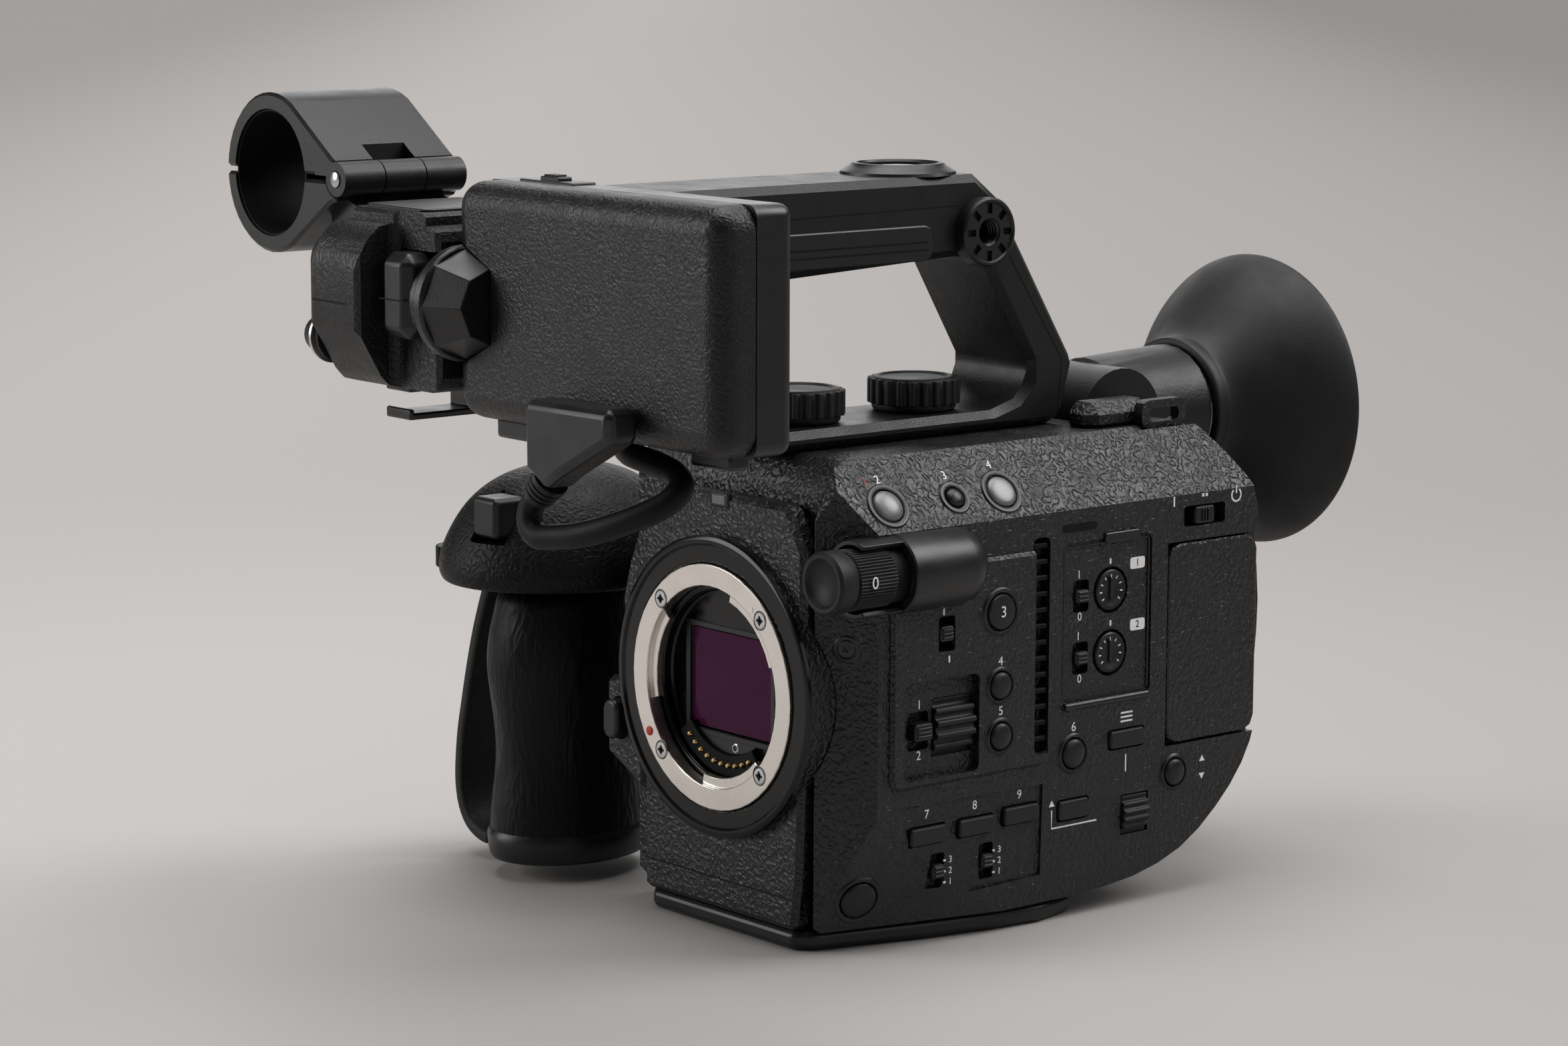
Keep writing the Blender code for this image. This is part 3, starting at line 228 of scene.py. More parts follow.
def edit_all():
    bpy.ops.object.mode_set(mode="EDIT")
    bpy.ops.mesh.select_all(action="SELECT")


def close_up():
    """Merges doubles and turns the faces outwards, in edit mode."""
    bpy.ops.mesh.select_all(action="SELECT")
    bpy.ops.mesh.remove_doubles(threshold=0.000002)
    bpy.ops.mesh.normals_make_consistent(inside=False)
    bpy.ops.object.mode_set(mode="OBJECT")


def plate(name, outline, axis, start, end, edge=0.0, steps=2):
    """A flat outline with a thickness: (y, z) for axis x, (x, z) for axis y and (x, y) for axis z."""
    place = "xyz".index(axis)
    points = [(*point[:place], start, *point[place:]) for point in outline]
    piece = sketch(name, points, [], [range(len(outline))])
    shift = Vector([end - start if letter == axis else 0.0 for letter in "xyz"]) * MM
    edit_all()
    bpy.ops.mesh.extrude_region_move(TRANSFORM_OT_translate={"value": shift})
    close_up()
    return soften(piece, edge, steps) if edge else piece


def spun(name, start, along, profile, closed=False, steps=72):
    """Turns a profile of (height, radius) points round an axis."""
    count = len(profile)
    edges = [(i, i + 1) for i in range(count - 1)] + ([(count - 1, 0)] if closed else [])
    piece = sketch(name, [(radius, 0, height) for height, radius in profile], edges, [])
    edit_all()
    bpy.ops.mesh.spin(steps=steps, angle=2 * math.pi, center=(0, 0, 0), axis=(0, 0, 1))
    close_up()
    turn = Vector(along).to_track_quat("Z", "Y").to_matrix().to_4x4()
    piece.matrix_world = Matrix.Translation(Vector(start) * MM) @ turn
    return baked(piece)


def arc(centre, radius, first, last, count):
    """Flat points on part of a circle, with angles in degrees."""
    turns = [math.radians(first + (last - first) * step / count) for step in range(count + 1)]
    return [(centre[0] + radius * math.cos(turn), centre[1] + radius * math.sin(turn)) for turn in turns]


def ring_part(centre, outer, inner, first, last, count):
    """The outline of part of a flat ring."""
    return arc(centre, outer, first, last, count) + arc(centre, inner, last, first, count)


def oblong(low, high, corner, count=5):
    """A rectangle's outline with round corners."""
    left, lower = (value + corner for value in low)
    right, upper = (value - corner for value in high)
    outline = []
    for number, centre in enumerate(((right, upper), (left, upper), (left, lower), (right, lower))):
        outline += arc(centre, corner, 90 * number, 90 * number + 90, count)
    return outline


def toothed(centre, radius, rise, count, share=0.55):
    """The outline of a wheel with raised ribs round its rim."""
    outline = []
    for i in range(count):
        for place, reach in ((0.0, -rise), (0.18, 0.0), (share, 0.0), (share + 0.18, -rise)):
            angle = 2 * math.pi * (i + place) / count
            outline.append((centre[0] + (radius + reach) * math.cos(angle),
                            centre[1] + (radius + reach) * math.sin(angle)))
    return outline


def bridged(name, axis, sections, levels=2, sides=32):
    """A smooth form over level ovals round an upright axis: height, half width and half depth."""
    piece = sketch(name, [], [], [])
    bpy.ops.object.mode_set(mode="EDIT")
    for height, half_x, half_y in sections:
        at = Vector((*axis, height)) * MM
        bpy.ops.mesh.select_all(action="DESELECT")
        bpy.ops.mesh.primitive_circle_add(vertices=sides, radius=1.0, location=at)
        bpy.ops.transform.resize(value=(half_x * MM, half_y * MM, 1.0), center_override=at)
    bpy.ops.mesh.select_all(action="SELECT")
    bpy.ops.mesh.bridge_edge_loops()
    bpy.ops.mesh.select_all(action="DESELECT")
    bpy.ops.mesh.select_non_manifold()
    bpy.ops.mesh.fill_holes(sides=0)
    close_up()
    return smoothed(piece, levels)


print("shape helpers ready")

# %% [markdown]
# A finish is a net of shader nodes, and each node takes several lines of code. These helpers add a node with
# its values, mix two colours and wire nodes up, so that a finish stays short enough to read.


# %% Helpers for shader nodes
def shade(tree, kind, inputs=None, **settings):
    """A new shader node with its settings and the values of its inputs."""
    made = tree.nodes.new("ShaderNode" + kind)
    for setting, value in settings.items():
        setattr(made, setting, value)
    for socket, value in (inputs or {}).items():
        made.inputs[socket].default_value = value
    return made


def mixed(tree, share, first, last):
    """A colour between two others."""
    mix = shade(tree, "Mix", {6: first, 7: last}, data_type="RGBA")
    tree.links.new(share, mix.inputs[0])
    return mix.outputs[2]


def wire(tree, *links):
    for output, socket in links:
        tree.links.new(output, socket)


print("shader helpers ready")

# %% [markdown]
# ## The monitor's cable
# A short round cable leaves the monitor's plug, loops below it and goes into the front block. Its route
# follows the CAD model's points, and the turn below the plug is eased, so that the cable doesn't fold into
# itself. It is drawn as a curve and made a mesh tube.

# %% Make the cable
CABLE_RADIUS = 2.9
CABLE_ROUTE = [Vector(point) for point in (
    (53.4, -163.8, 128.6), (51.2, -164.0, 126.4), (49.1, -164.2, 124.3), (47.95, -164.5, 122.25),
    (47.95, -164.9, 119.95), (49.1, -165.2, 117.9), (51.1, -165.3, 116.75), (53.6, -165.4, 116.6),
    (58.6, -165.2, 117.3), (66.0, -164.6, 118.6), (74.0, -162.8, 121.0), (81.0, -159.4, 124.0),
    (85.4, -155.4, 127.0), (85.4, -151.4, 130.0), (81.0, -149.4, 132.4), (74.5, -149.2, 133.8),
    (67.0, -148.8, 134.5), (60.0, -146.4, 134.8), (52.0, -141.2, 135.2), (45.0, -135.4, 136.4),
    (37.0, -130.4, 138.8), (28.0, -127.3, 142.0), (19.0, -126.1, 144.4), (12.0, -126.0, 145.4),
    (6.0, -126.0, 145.4))]


def smooth_route(route, count):
    """Points on a smooth curve through the route's own points."""
    made = []
    last = len(route) - 1
    for i in range(last):
        before, here, ahead = route[max(i - 1, 0)], route[i], route[i + 1]
        beyond = route[min(i + 2, last)]
        for step in range(count):
            t = step / count
            made.append(0.5 * (2 * here + (ahead - before) * t
                               + (2 * before - 5 * here + 4 * ahead - beyond) * t ** 2
                               + (3 * here - before - 3 * ahead + beyond) * t ** 3))
    return made + [route[-1]]


cable_points = [point * MM for point in smooth_route(CABLE_ROUTE, 6)]
cable_curve = bpy.data.curves.new("monitor_cable", "CURVE")
cable_curve.dimensions = "3D"
cable_curve.bevel_depth = CABLE_RADIUS * MM
cable_curve.bevel_resolution = 6
cable_curve.use_fill_caps = True
cable_spline = cable_curve.splines.new("POLY")
cable_spline.points.add(len(cable_points) - 1)
for point, at in zip(cable_spline.points, cable_points):
    point.co = (*at, 1.0)
cable = bpy.data.objects.new("monitor_cable", cable_curve)
bpy.context.scene.collection.objects.link(cable)
only(cable)
bpy.ops.object.convert(target="MESH")
cable = bpy.context.object

# %% [markdown]
# ## The floor
# The rig stands on a pale floor that runs on as the background. Close by it is paper, which takes the
# shadow, and its colour is painted darker towards the right as painted shade. Further off it shows a grey
# that is painted darker towards the back and the right as painted shade. That grey is seen by the camera
# and in reflections only, so it puts no extra light on the rig.

# %% Make the floor
bpy.context.scene.view_settings.view_transform = "Standard"
bpy.ops.object.select_all(action="DESELECT")
bpy.ops.mesh.primitive_plane_add(size=40.0, location=(0, 0, -0.0002))
floor = named("studio_floor")
paper = bpy.data.materials.new("floor_paper")
paper.use_nodes = True
tree = paper.node_tree
# The darker right-hand paper colour is painted shade.
PAPER_LEFT = (0.475, 0.453, 0.438, 1.0)
PAPER_RIGHT_PAINTED_SHADE = (0.35, 0.334, 0.323, 1.0)
# The darker far colour of the background is painted shade.
BACK_NEAR = (0.54, 0.515, 0.498, 1.0)
BACK_FAR_PAINTED_SHADE = (0.50, 0.477, 0.460, 1.0)
AWAY = (-math.sin(AZIMUTH), math.cos(AZIMUTH), 0.0)
ACROSS = (math.cos(AZIMUTH), math.sin(AZIMUTH), 0.0)
where = shade(tree, "TexCoord").outputs["Object"]


def along_floor(direction, low, high, start, end, both_sides=False):
    """A value that runs from start to end as a place on the floor goes from low to high, in metres."""
    measure = shade(tree, "VectorMath", {1: direction} if direction else None,
                    operation="DOT_PRODUCT" if direction else "LENGTH")
    size = shade(tree, "Math", {1: 0.0}, operation="ABSOLUTE" if both_sides else "ADD")
    spread = shade(tree, "MapRange", {"From Min": low, "From Max": high, "To Min": start, "To Max": end},
                   interpolation_type="SMOOTHSTEP")
    wire(tree, (where, measure.inputs[0]), (measure.outputs["Value"], size.inputs[0]),
         (size.outputs[0], spread.inputs["Value"]))
    return spread.outputs[0]


# The glow's strength falls off towards the right and out to both sides: painted shade.
glow = shade(tree, "Emission")
fall = shade(tree, "Math", operation="MULTIPLY")
wire(tree, (mixed(tree, along_floor(AWAY, 0.2, 6.0, 0.0, 1.0), BACK_NEAR, BACK_FAR_PAINTED_SHADE), glow.inputs["Color"]),
     (along_floor(ACROSS, -0.5, 0.5, 1.04, 0.84), fall.inputs[0]),
     (along_floor(ACROSS, 0.3, 1.1, 1.0, 0.70, both_sides=True), fall.inputs[1]),
     (fall.outputs[0], glow.inputs["Strength"]))
path = shade(tree, "LightPath")
seen = path.outputs["Is Camera Ray"]
for kind in ("Is Glossy Ray", "Is Transmission Ray"):
    either = shade(tree, "Math", operation="MAXIMUM")
    wire(tree, (seen, either.inputs[0]), (path.outputs[kind], either.inputs[1]))
    seen = either.outputs[0]
sheet = tree.nodes["Principled BSDF"]
sheet.inputs["Roughness"].default_value = 0.9
# The paper's colour runs darker towards the right: painted shade.
tint = mixed(tree, along_floor(ACROSS, -0.35, 0.35, 0.0, 1.0), PAPER_LEFT, PAPER_RIGHT_PAINTED_SHADE)
far = shade(tree, "MixShader")
whole = shade(tree, "MixShader")
wire(tree, (tint, sheet.inputs["Base Color"]), (seen, far.inputs[0]), (sheet.outputs[0], far.inputs[1]),
     (glow.outputs[0], far.inputs[2]), (along_floor(None, 0.30, 0.95, 0.0, 1.0), whole.inputs[0]),
     (sheet.outputs[0], whole.inputs[1]), (far.outputs[0], whole.inputs[2]),
     (whole.outputs[0], tree.nodes["Material Output"].inputs["Surface"]))
floor.data.materials.append(paper)
print("floor nodes", len(tree.nodes))

# %% [markdown]
# ## The light
# Black pieces show their shape by what they reflect. A wide soft box hangs above and another stands behind,
# so that every upper edge has a bright line, and the sides stay dark. One behind on the right shows in the
# sloping shoulder, one in front on the left shows in the bayonet, and a weak one on the right opens the
# shadows.

# %% Set up world and lamps
world = bpy.data.worlds.new("studio_world")
bpy.context.scene.world = world
world.use_nodes = True
sky = world.node_tree.nodes["Background"]
sky.inputs["Color"].default_value = (0.95, 0.94, 0.93, 1.0)
sky.inputs["Strength"].default_value = 0.06
RIG_MIDDLE = Vector((0.0, -0.03, 0.1))
for name, at, size, power in (("top_box", (-0.1, 0.1, 1.5), 1.3, 21.0),
                              ("back_box", (-1.7, 1.4, 0.95), 1.5, 11.0),
                              ("rear_box", (0.62, 1.05, 1.2), 0.8, 14.0),
                              ("left_box", (-0.95, -1.25, 0.6), 0.9, 11.0),
                              ("right_box", (1.5, 0.2, 0.8), 0.9, 2.2)):
    bpy.ops.object.select_all(action="DESELECT")
    bpy.ops.object.light_add(type="AREA", location=at)
    lamp = bpy.context.object
    lamp.name = name
    lamp.data.size = size
    lamp.data.energy = power
    lamp.rotation_euler = (Vector(at) - RIG_MIDDLE).to_track_quat("Z", "Y").to_euler()

# %% [markdown]
# ## Finishes
# Nearly all of the rig is black, so the finishes differ by grain and gloss: wrinkled paint on the shells,
# satin moulded plastic on trim and keys, soft rubber on wheels and eyecup. Colour and gloss wander a little
# over each surface. The wrinkles are a ridged noise, which draws short crooked lines. All patterns read
# Object coordinates.


# %% A finish with wandering colour, gloss and grain
def finish(name, dark, light, rough, grain=None, metallic=0.0, blotch=120.0, shine=0.4, stretch=(1, 1, 1)):
    """The grain is (size, depth) in millimetres, and stretch squeezes it along an axis."""
    made = bpy.data.materials.new(name)
    made.use_nodes = True
    tree = made.node_tree
    shader = tree.nodes["Principled BSDF"]
    shader.inputs["Metallic"].default_value = metallic
    shader.inputs["Specular IOR Level"].default_value = shine
    where = shade(tree, "TexCoord").outputs["Object"]
    cloud = shade(tree, "TexNoise", {"Scale": blotch, "Detail": 5.0})
    gloss = shade(tree, "MapRange", {"From Min": 0.3, "From Max": 0.7,
                                     "To Min": rough[0], "To Max": rough[1]})
    tint = mixed(tree, cloud.outputs[0], (*dark, 1.0), (*light, 1.0))
    wire(tree, (where, cloud.inputs["Vector"]), (tint, shader.inputs["Base Color"]),
         (cloud.outputs[0], gloss.inputs["Value"]), (gloss.outputs[0], shader.inputs["Roughness"]))
    if grain:
        size, depth = grain
        laid = shade(tree, "Mapping", {"Scale": stretch})
        wrinkles = shade(tree, "TexNoise", {
            "Scale": 0.8 / (size * MM), "Detail": 1.5, "Offset": 1.0, "Gain": 1.0, "Distortion": 0.35,
        }, noise_type="RIDGED_MULTIFRACTAL")
        bump = shade(tree, "Bump", {"Distance": depth * MM, "Strength": 1.0})
        wire(tree, (where, laid.inputs["Vector"]), (laid.outputs[0], wrinkles.inputs["Vector"]),
             (wrinkles.outputs[0], bump.inputs["Height"]), (bump.outputs["Normal"], shader.inputs["Normal"]))
    return made


def grey(value, warm=0.0):
    return (value * (1 + warm), value, value * (1 - warm))


pebbled = finish("wrinkled_black_paint", grey(0.003), grey(0.006), (0.36, 0.5), (1.3, 0.18), shine=0.55)
fine_paint = finish("fine_wrinkled_paint", grey(0.005), grey(0.009), (0.38, 0.5), (0.95, 0.075))
smooth_paint = finish("smooth_black_paint", grey(0.004), grey(0.007), (0.38, 0.48), (0.7, 0.02))
satin = finish("satin_black_plastic", grey(0.004), grey(0.007), (0.32, 0.42), (0.4, 0.008), shine=0.5)
rubber = finish("soft_black_rubber", grey(0.004), grey(0.007), (0.48, 0.6), (0.6, 0.012))
keycap = finish("black_key_caps", grey(0.006), grey(0.010), (0.36, 0.46), (0.4, 0.006))
grip_skin = finish("grip_leatherette", grey(0.002), grey(0.004), (0.4, 0.55), (1.6, 0.10), shine=0.2,
                   stretch=(1.0, 1.0, 0.28))
dark_paint = finish("dark_wrinkled_paint", grey(0.002), grey(0.004), (0.42, 0.55), (1.3, 0.12), shine=0.2)
mount_black = finish("glossy_mount_black", grey(0.002), grey(0.003), (0.16, 0.22), shine=0.35)
cable_skin = finish("cable_rubber", grey(0.003), grey(0.005), (0.5, 0.6), (0.6, 0.01), shine=0.2)
# One black for seams, prints, the sensor and the louvres, and also painted shade in slots, grooves and
# hollows.
black_and_painted_shade = finish("black_seams_and_painted_shade", grey(0.002), grey(0.004), (0.6, 0.75), shine=0.2)
grey_cap = finish("grey_button_caps", grey(0.16), grey(0.22), (0.3, 0.4), (0.4, 0.006), metallic=0.4)
gold = finish("gold_contacts", (0.75, 0.52, 0.2), (0.85, 0.62, 0.28), (0.2, 0.3), metallic=1.0)
bright = finish("bright_screws", grey(0.55), grey(0.65), (0.25, 0.35), metallic=1.0)
dark_metal = finish("blackened_screws", grey(0.03), grey(0.06), (0.3, 0.4), metallic=0.8)
white_ink = finish("white_print", grey(0.85, 0.01), grey(0.92, 0.01), (0.5, 0.6), blotch=900.0)
red_ink = finish("red_print", (0.45, 0.03, 0.02), (0.55, 0.05, 0.03), (0.5, 0.6), blotch=900.0)
filter_glass = finish("purple_filter_glass", (0.050, 0.006, 0.036), (0.066, 0.010, 0.046), (0.05, 0.09),
                      blotch=60.0, shine=0.08)
screen_glass = finish("dark_screen_glass", grey(0.004), grey(0.006), (0.04, 0.07))
window_pane = finish("smoked_window", grey(0.16), grey(0.2), (0.15, 0.2))
webbing = finish("strap_webbing", grey(0.006), grey(0.011), (0.55, 0.7), (0.6, 0.05))
screen_glass.node_tree.nodes["Principled BSDF"].inputs["Coat Weight"].default_value = 0.5
print("finishes", len(bpy.data.materials))

# %% [markdown]
# ## Turned steel
# The bayonet ring is a turned steel part with a satin face. Fine rings run round its axis, so the wave
# texture is centred on the lens axis by a Mapping node.

# %% Make the turned steel
MOUNT_Z = 62.5
steel = finish("turned_steel", grey(0.70, 0.06), grey(0.78, 0.07), (0.24, 0.32), metallic=1.0)
tree = steel.node_tree
centred = shade(tree, "Mapping", {"Location": (0.0, 0.0, -MOUNT_Z * MM)})
rings = shade(tree, "TexWave", {"Scale": 900.0, "Distortion": 0.6}, wave_type="RINGS", rings_direction="Y")
groove = shade(tree, "Bump", {"Distance": 0.000002})
where = [node for node in tree.nodes if node.type == "TEX_COORD"][0].outputs["Object"]
wire(tree, (where, centred.inputs["Vector"]), (centred.outputs[0], rings.inputs["Vector"]),
     (rings.outputs[1], groove.inputs["Height"]),
     (groove.outputs[0], tree.nodes["Principled BSDF"].inputs["Normal"]))
print("steel nodes", len(tree.nodes))

# %% [markdown]
# ## Shells, trim and keys
# The CAD solids of the hard pieces have the right shape, with plain chamfers. Each is copied, its loose
# triangles are merged, and every edge gets a small round, because a moulded or painted edge always shows a
# thin highlight. The control cover is also cut at its lower front corner, where the slope runs out.

# %% Dress the hard pieces
LOOK_OF = {"grained_shell": (pebbled, 0.8), "satin_trim": (satin, 0.6), "rubber": (rubber, 0.5),
           "key_cap": (keycap, 0.35), "steel": (steel, 0.3)}
REBUILT = ("lcd_cable", "eyecup", "grip_handle", "grip_head", "hand_strap", "handle_knob_front",
           "handle_knob_rear", "iris_wheel", "select_wheel", "nd_dial", "audio_dial_1", "audio_dial_2",
           "grip_dial", "status_button", "iris_button", "push_auto_button", "display_button", "slot_button",
           "record_button", "speed_button", "full_auto_button", "wb_set_button", "lcd_back_shell",
           "lcd_bezel", "handle_front_block")
PAINT_OF = {"handle_frame": smooth_paint, "viewfinder_tube": smooth_paint, "throat_liner": mount_black}
SCOOP_ALONG = Vector((-14.0, -58.0, 0.0)).normalized()
SCOOP_OUT = Vector((0.0, -54.0, 38.0)).cross(SCOOP_ALONG).normalized()
scoop_end = block("scoop_end", (0.0, -80.0, -60.0), (30.0, -59.0, 40.0))
scoop_end.matrix_world = Matrix.Translation(Vector((47.0, -6.0, 0.0)) * MM) @ Matrix(
    (SCOOP_OUT, -SCOOP_ALONG, SCOOP_ALONG.cross(SCOOP_OUT))).transposed().to_4x4()
CUTS_OF = {"left_cover": [scoop_end]}


def dressed(node, material, edge, *cutters):
    """A rounded copy of a CAD piece, with further cuts made before its edges are rounded."""
    mesh = nodes[node].data.copy()
    piece = bpy.data.objects.new(node + "_dressed", mesh)
    bpy.context.scene.collection.objects.link(piece)
    only(piece)
    edit_all()
    bpy.ops.mesh.remove_doubles(threshold=0.000005)
    bpy.ops.mesh.dissolve_limited(angle_limit=math.radians(0.6))
    bpy.ops.object.mode_set(mode="OBJECT")
    carve(piece, *cutters)
    soften(piece, edge, steps=2, angle=32)
    paint(piece, material)
    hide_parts(node)
    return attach(piece, body_of[node])


for node, slot in slot_of.items():
    if slot in LOOK_OF and node not in REBUILT:
        material, edge = LOOK_OF[slot]
        dressed(node, PAINT_OF.get(node, material), edge, *CUTS_OF.get(node, ()))
for node, material in (("filter_window", filter_glass), ("lcd_screen", screen_glass),
                       ("eyepiece_lens", screen_glass), ("image_sensor", black_and_painted_shade)):
    paint(nodes[node], material)

# %% [markdown]
# ## The monitor's shells and the front block
# The monitor's two shells have soft rounded rims, which the CAD model only chamfers. Each is a rounded block
# that is cut flat at the seam. The hinge's collar sits in a notch. The front block's right corner is set
# back, so that the clamp of the hinge stands proud of it.

# %% Round the monitor's shells and set back the block's corner
SHELL_ROUND, BEZEL_ROUND, BLOCK_ROUND = 6.0, 3.0, 1.6
HINGE_Y, HINGE_Z = -158.0, 165.0
COLLAR_ROOM = 13.8
ONE = Vector((1, 1, 1))


def rounded_shell(node, material, past, edge):
    """A block with rounded edges that runs past the seam by some depth and is cut off there."""
    low, _, high = span(node)
    front, back = low.copy(), high.copy()
    front.y += min(past, 0.0)
    back.y += max(past, 0.0)
    piece = block(node + "_rounded", front, back, edge, steps=7)
    cut_low, cut_high = front - ONE, back + ONE
    if past > 0:
        cut_low.y = high.y
    else:
        cut_high.y = low.y
    carve(piece, block("past_seam", cut_low, cut_high),
          rod("collar_room", (4.0, HINGE_Y, HINGE_Z), (15.0, HINGE_Y, HINGE_Z), COLLAR_ROOM),
          rod("taper_room", (14.9, HINGE_Y, HINGE_Z), (25.6, HINGE_Y, HINGE_Z), COLLAR_ROOM, 8.6))
    return stand_in(piece, material, node)


rounded_shell("lcd_back_shell", fine_paint, 10.0, SHELL_ROUND)
bezel = rounded_shell("lcd_bezel", satin, -6.0, BEZEL_ROUND)
glass_low, _, glass_high = span("lcd_screen")
carve(bezel, block("glass_room", glass_low - ONE * 0.3, glass_high + Vector((0.3, 4.0, 0.3))))
corner_room = block("corner_room", (-9.0, -180.0, 130.0), (20.0, -161.0, 200.0), 2.5, 4)
dressed("handle_front_block", fine_paint, BLOCK_ROUND, corner_room)
print("monitor shells and front block")

# %% [markdown]
# ## Painted shade in the microphone holder
# A black sheet of painted shade lines both halves of the holder, and each half of it moves with its own half.

# %% Line the microphone holder
MIC_AXIS, MIC_BORE, SHADE_SHEET_THICKNESS = (-69.0, 190.0), 15.5, 0.6
# Each sheet is painted shade inside the holder.
for name, first, last, body in (("painted_shade_upper", 4.0, 175.5, "mic_lid"), ("painted_shade_lower", 176.5, 363.0, "root")):
    outline = ring_part(MIC_AXIS, MIC_BORE - 0.1, MIC_BORE - SHADE_SHEET_THICKNESS, first, last, 24)
    settle(plate(name, outline, "y", -156.4, -122.1), black_and_painted_shade, body)
print("holder lined")

# %% [markdown]
# ## Finish of the cable
# The cable is soft rubber. A ribbed sleeve keeps it from kinking where it leaves the plug.

only(cable)
bpy.ops.object.shade_smooth()
paint(cable, cable_skin)
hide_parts("lcd_cable")
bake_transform(cable)
sleeve_profile = [(0.0, 2.4), (0.0, 4.3)]
for rib in range(4):
    base = 0.4 + rib * 1.5
    reach = 4.4 - rib * 0.25
    sleeve_profile += [(base, reach), (base + 0.9, reach - 0.05), (base + 1.0, reach - 0.6),
                       (base + 1.4, reach - 0.65)]
sleeve_profile += [(6.8, 3.1), (6.8, 2.4)]
sleeve = spun("plug_sleeve", CABLE_ROUTE[0] + Vector((1.2, 0.0, 1.0)), CABLE_ROUTE[2] - CABLE_ROUTE[0],
              sleeve_profile, closed=True, steps=32)
settle(sleeve, rubber, "monitor")
print("cable sleeve points", len(sleeve_profile))

# %% [markdown]
# ## The eyecup
# The eyecup is one turned rubber bell: a collar on the tube, a slim waist and a wide flare with a rolled lip.
# Its wall is thin and even, so the profile runs out along the outside and back along the inside before it
# is spun.

# %% Spin the eyecup
CUP_START = (0.0, 84.3, 119.5)
CUP_PROFILE = [(0.0, 15.6), (0.0, 18.6), (0.6, 19.2), (3.4, 19.3), (4.0, 18.8), (6.0, 19.6), (9.0, 21.8),
               (13.0, 25.6), (18.0, 30.6), (23.0, 35.0), (28.0, 38.4), (31.0, 39.7), (32.3, 40.0),
               (32.7, 39.6), (32.5, 38.8), (30.6, 38.0), (27.4, 36.2), (22.4, 32.6), (17.4, 28.2),
               (12.4, 23.2), (8.4, 19.4), (5.4, 17.2), (3.6, 16.4), (3.4, 15.6)]
eyecup = smoothed(spun("eyecup_bell", CUP_START, BACK, CUP_PROFILE, closed=True, steps=96), 1)
stand_in(eyecup, rubber, "eyecup", angle=60)
print("eyecup faces", len(eyecup.data.polygons))

# %% [markdown]
# ## The side grip
# A hand holds a shaped handle below a rounded head. The handle's oval sections swell under the palm and
# narrow at the fingers, so it is bridged over circles and smoothed. The head is made in the same way, with
# seats cut for its button and dial.

# %% Bridge the grip
GRIP_AXIS = (-77.0, -61.5)
HANDLE_SECTIONS = [(4.2, 15.6, 20.6), (5.2, 16.8, 21.8), (10.0, 17.6, 22.8), (20.0, 17.0, 22.4),
                   (30.0, 15.7, 20.7), (40.0, 15.9, 21.2), (50.0, 17.3, 22.8), (58.0, 18.1, 23.6),
                   (66.0, 17.2, 22.4), (72.0, 15.6, 20.6), (78.3, 15.0, 20.0)]
grip_handle = bridged("grip_handle_form", GRIP_AXIS, HANDLE_SECTIONS)
stand_in(grip_handle, grip_skin, "grip_handle", angle=60)
HEAD_SECTIONS = [(78.9, 28.6, 33.0), (79.4, 30.0, 34.4), (81.5, 31.0, 35.4), (84.5, 31.0, 35.4),
                 (88.0, 30.2, 34.4), (93.0, 28.0, 32.0), (98.5, 24.6, 28.6), (103.5, 19.4, 23.4),
                 (107.4, 12.6, 16.0), (109.3, 5.0, 7.0)]
grip_head = bridged("grip_head_form", GRIP_AXIS, HEAD_SECTIONS, sides=40)
cap_low, _, cap_high = span("grip_cap_button")
dial_low, dial_mid, dial_high = span("grip_dial")
DIAL_RADIUS = (dial_high.x - dial_low.x) / 2
SEAT_GAP = 0.4
carve(grip_head,
      block("cap_seat", cap_low - Vector((SEAT_GAP, SEAT_GAP, 1.6)),
            (cap_high.x + SEAT_GAP, cap_high.y + SEAT_GAP, 120.0)),
      rod("dial_seat", (*dial_mid.xy, dial_low.z - 0.3), (*dial_mid.xy, dial_high.z + 0.3),
          DIAL_RADIUS + SEAT_GAP))
stand_in(grip_head, dark_paint, "grip_head", angle=40)
print("grip faces", len(grip_handle.data.polygons) + len(grip_head.data.polygons))

# %% [markdown]
# The head turns on a round arm that meets the body. The dial at the head's front edge has straight ribs for
# the finger.

# %% Add the grip's arm, dial and screw
ARM_START = (span("grip_head")[2].x, -48.0, 88.0)
arm = spun("grip_arm", ARM_START, (-1, 0, 0),
           [(0.0, 0.0), (0.0, 8.4), (0.5, 9.0), (2.6, 9.0), (3.0, 8.4), (12.0, 8.4), (12.0, 0.0)])
settle(arm, satin, "grip")
DIAL_RIBS = 30
grip_dial = plate("grip_dial_wheel", toothed(dial_mid, DIAL_RADIUS, 0.6, DIAL_RIBS), "z", dial_low.z,
                  dial_high.z, edge=0.2, steps=1)
stand_in(grip_dial, rubber, "grip_dial")


def screw(name, at, along, radius, material, body="root"):
    """A pan-head screw with a cross cut into it."""
    at, along = Vector(at), Vector(along).normalized()
    profile = [(0.0, 0.0), (0.0, radius), (0.75, radius), (0.95, radius * 0.9), (1.0, radius * 0.6),
               (1.0, 0.0)]
    head = spun(name, at - along * 0.6, along, profile, steps=28)
    side = along.orthogonal().normalized()
    for way in (side, along.cross(side)):
        blade = rod("cross", at - along * 0.1, at + along * 2.0, radius * 0.6, sides=4)
        for vertex in blade.data.vertices:
            offset = vertex.co - at * MM
            vertex.co -= way * offset.dot(way) * 0.68
        carve(head, blade)
    return settle(head, material, body, angle=30)


screw("grip_head_screw", (-50.6, -76.0, 83.0), (0.75, -0.66, 0.0), 2.2, dark_metal, "grip")
print("grip dial ribs", DIAL_RIBS)

# %% [markdown]
# ## The hand strap
# A flat padded strap runs from the head to the foot of the handle. It is a band of even thickness along a
# bent path, with rounded edges and a row of stitches along each side.

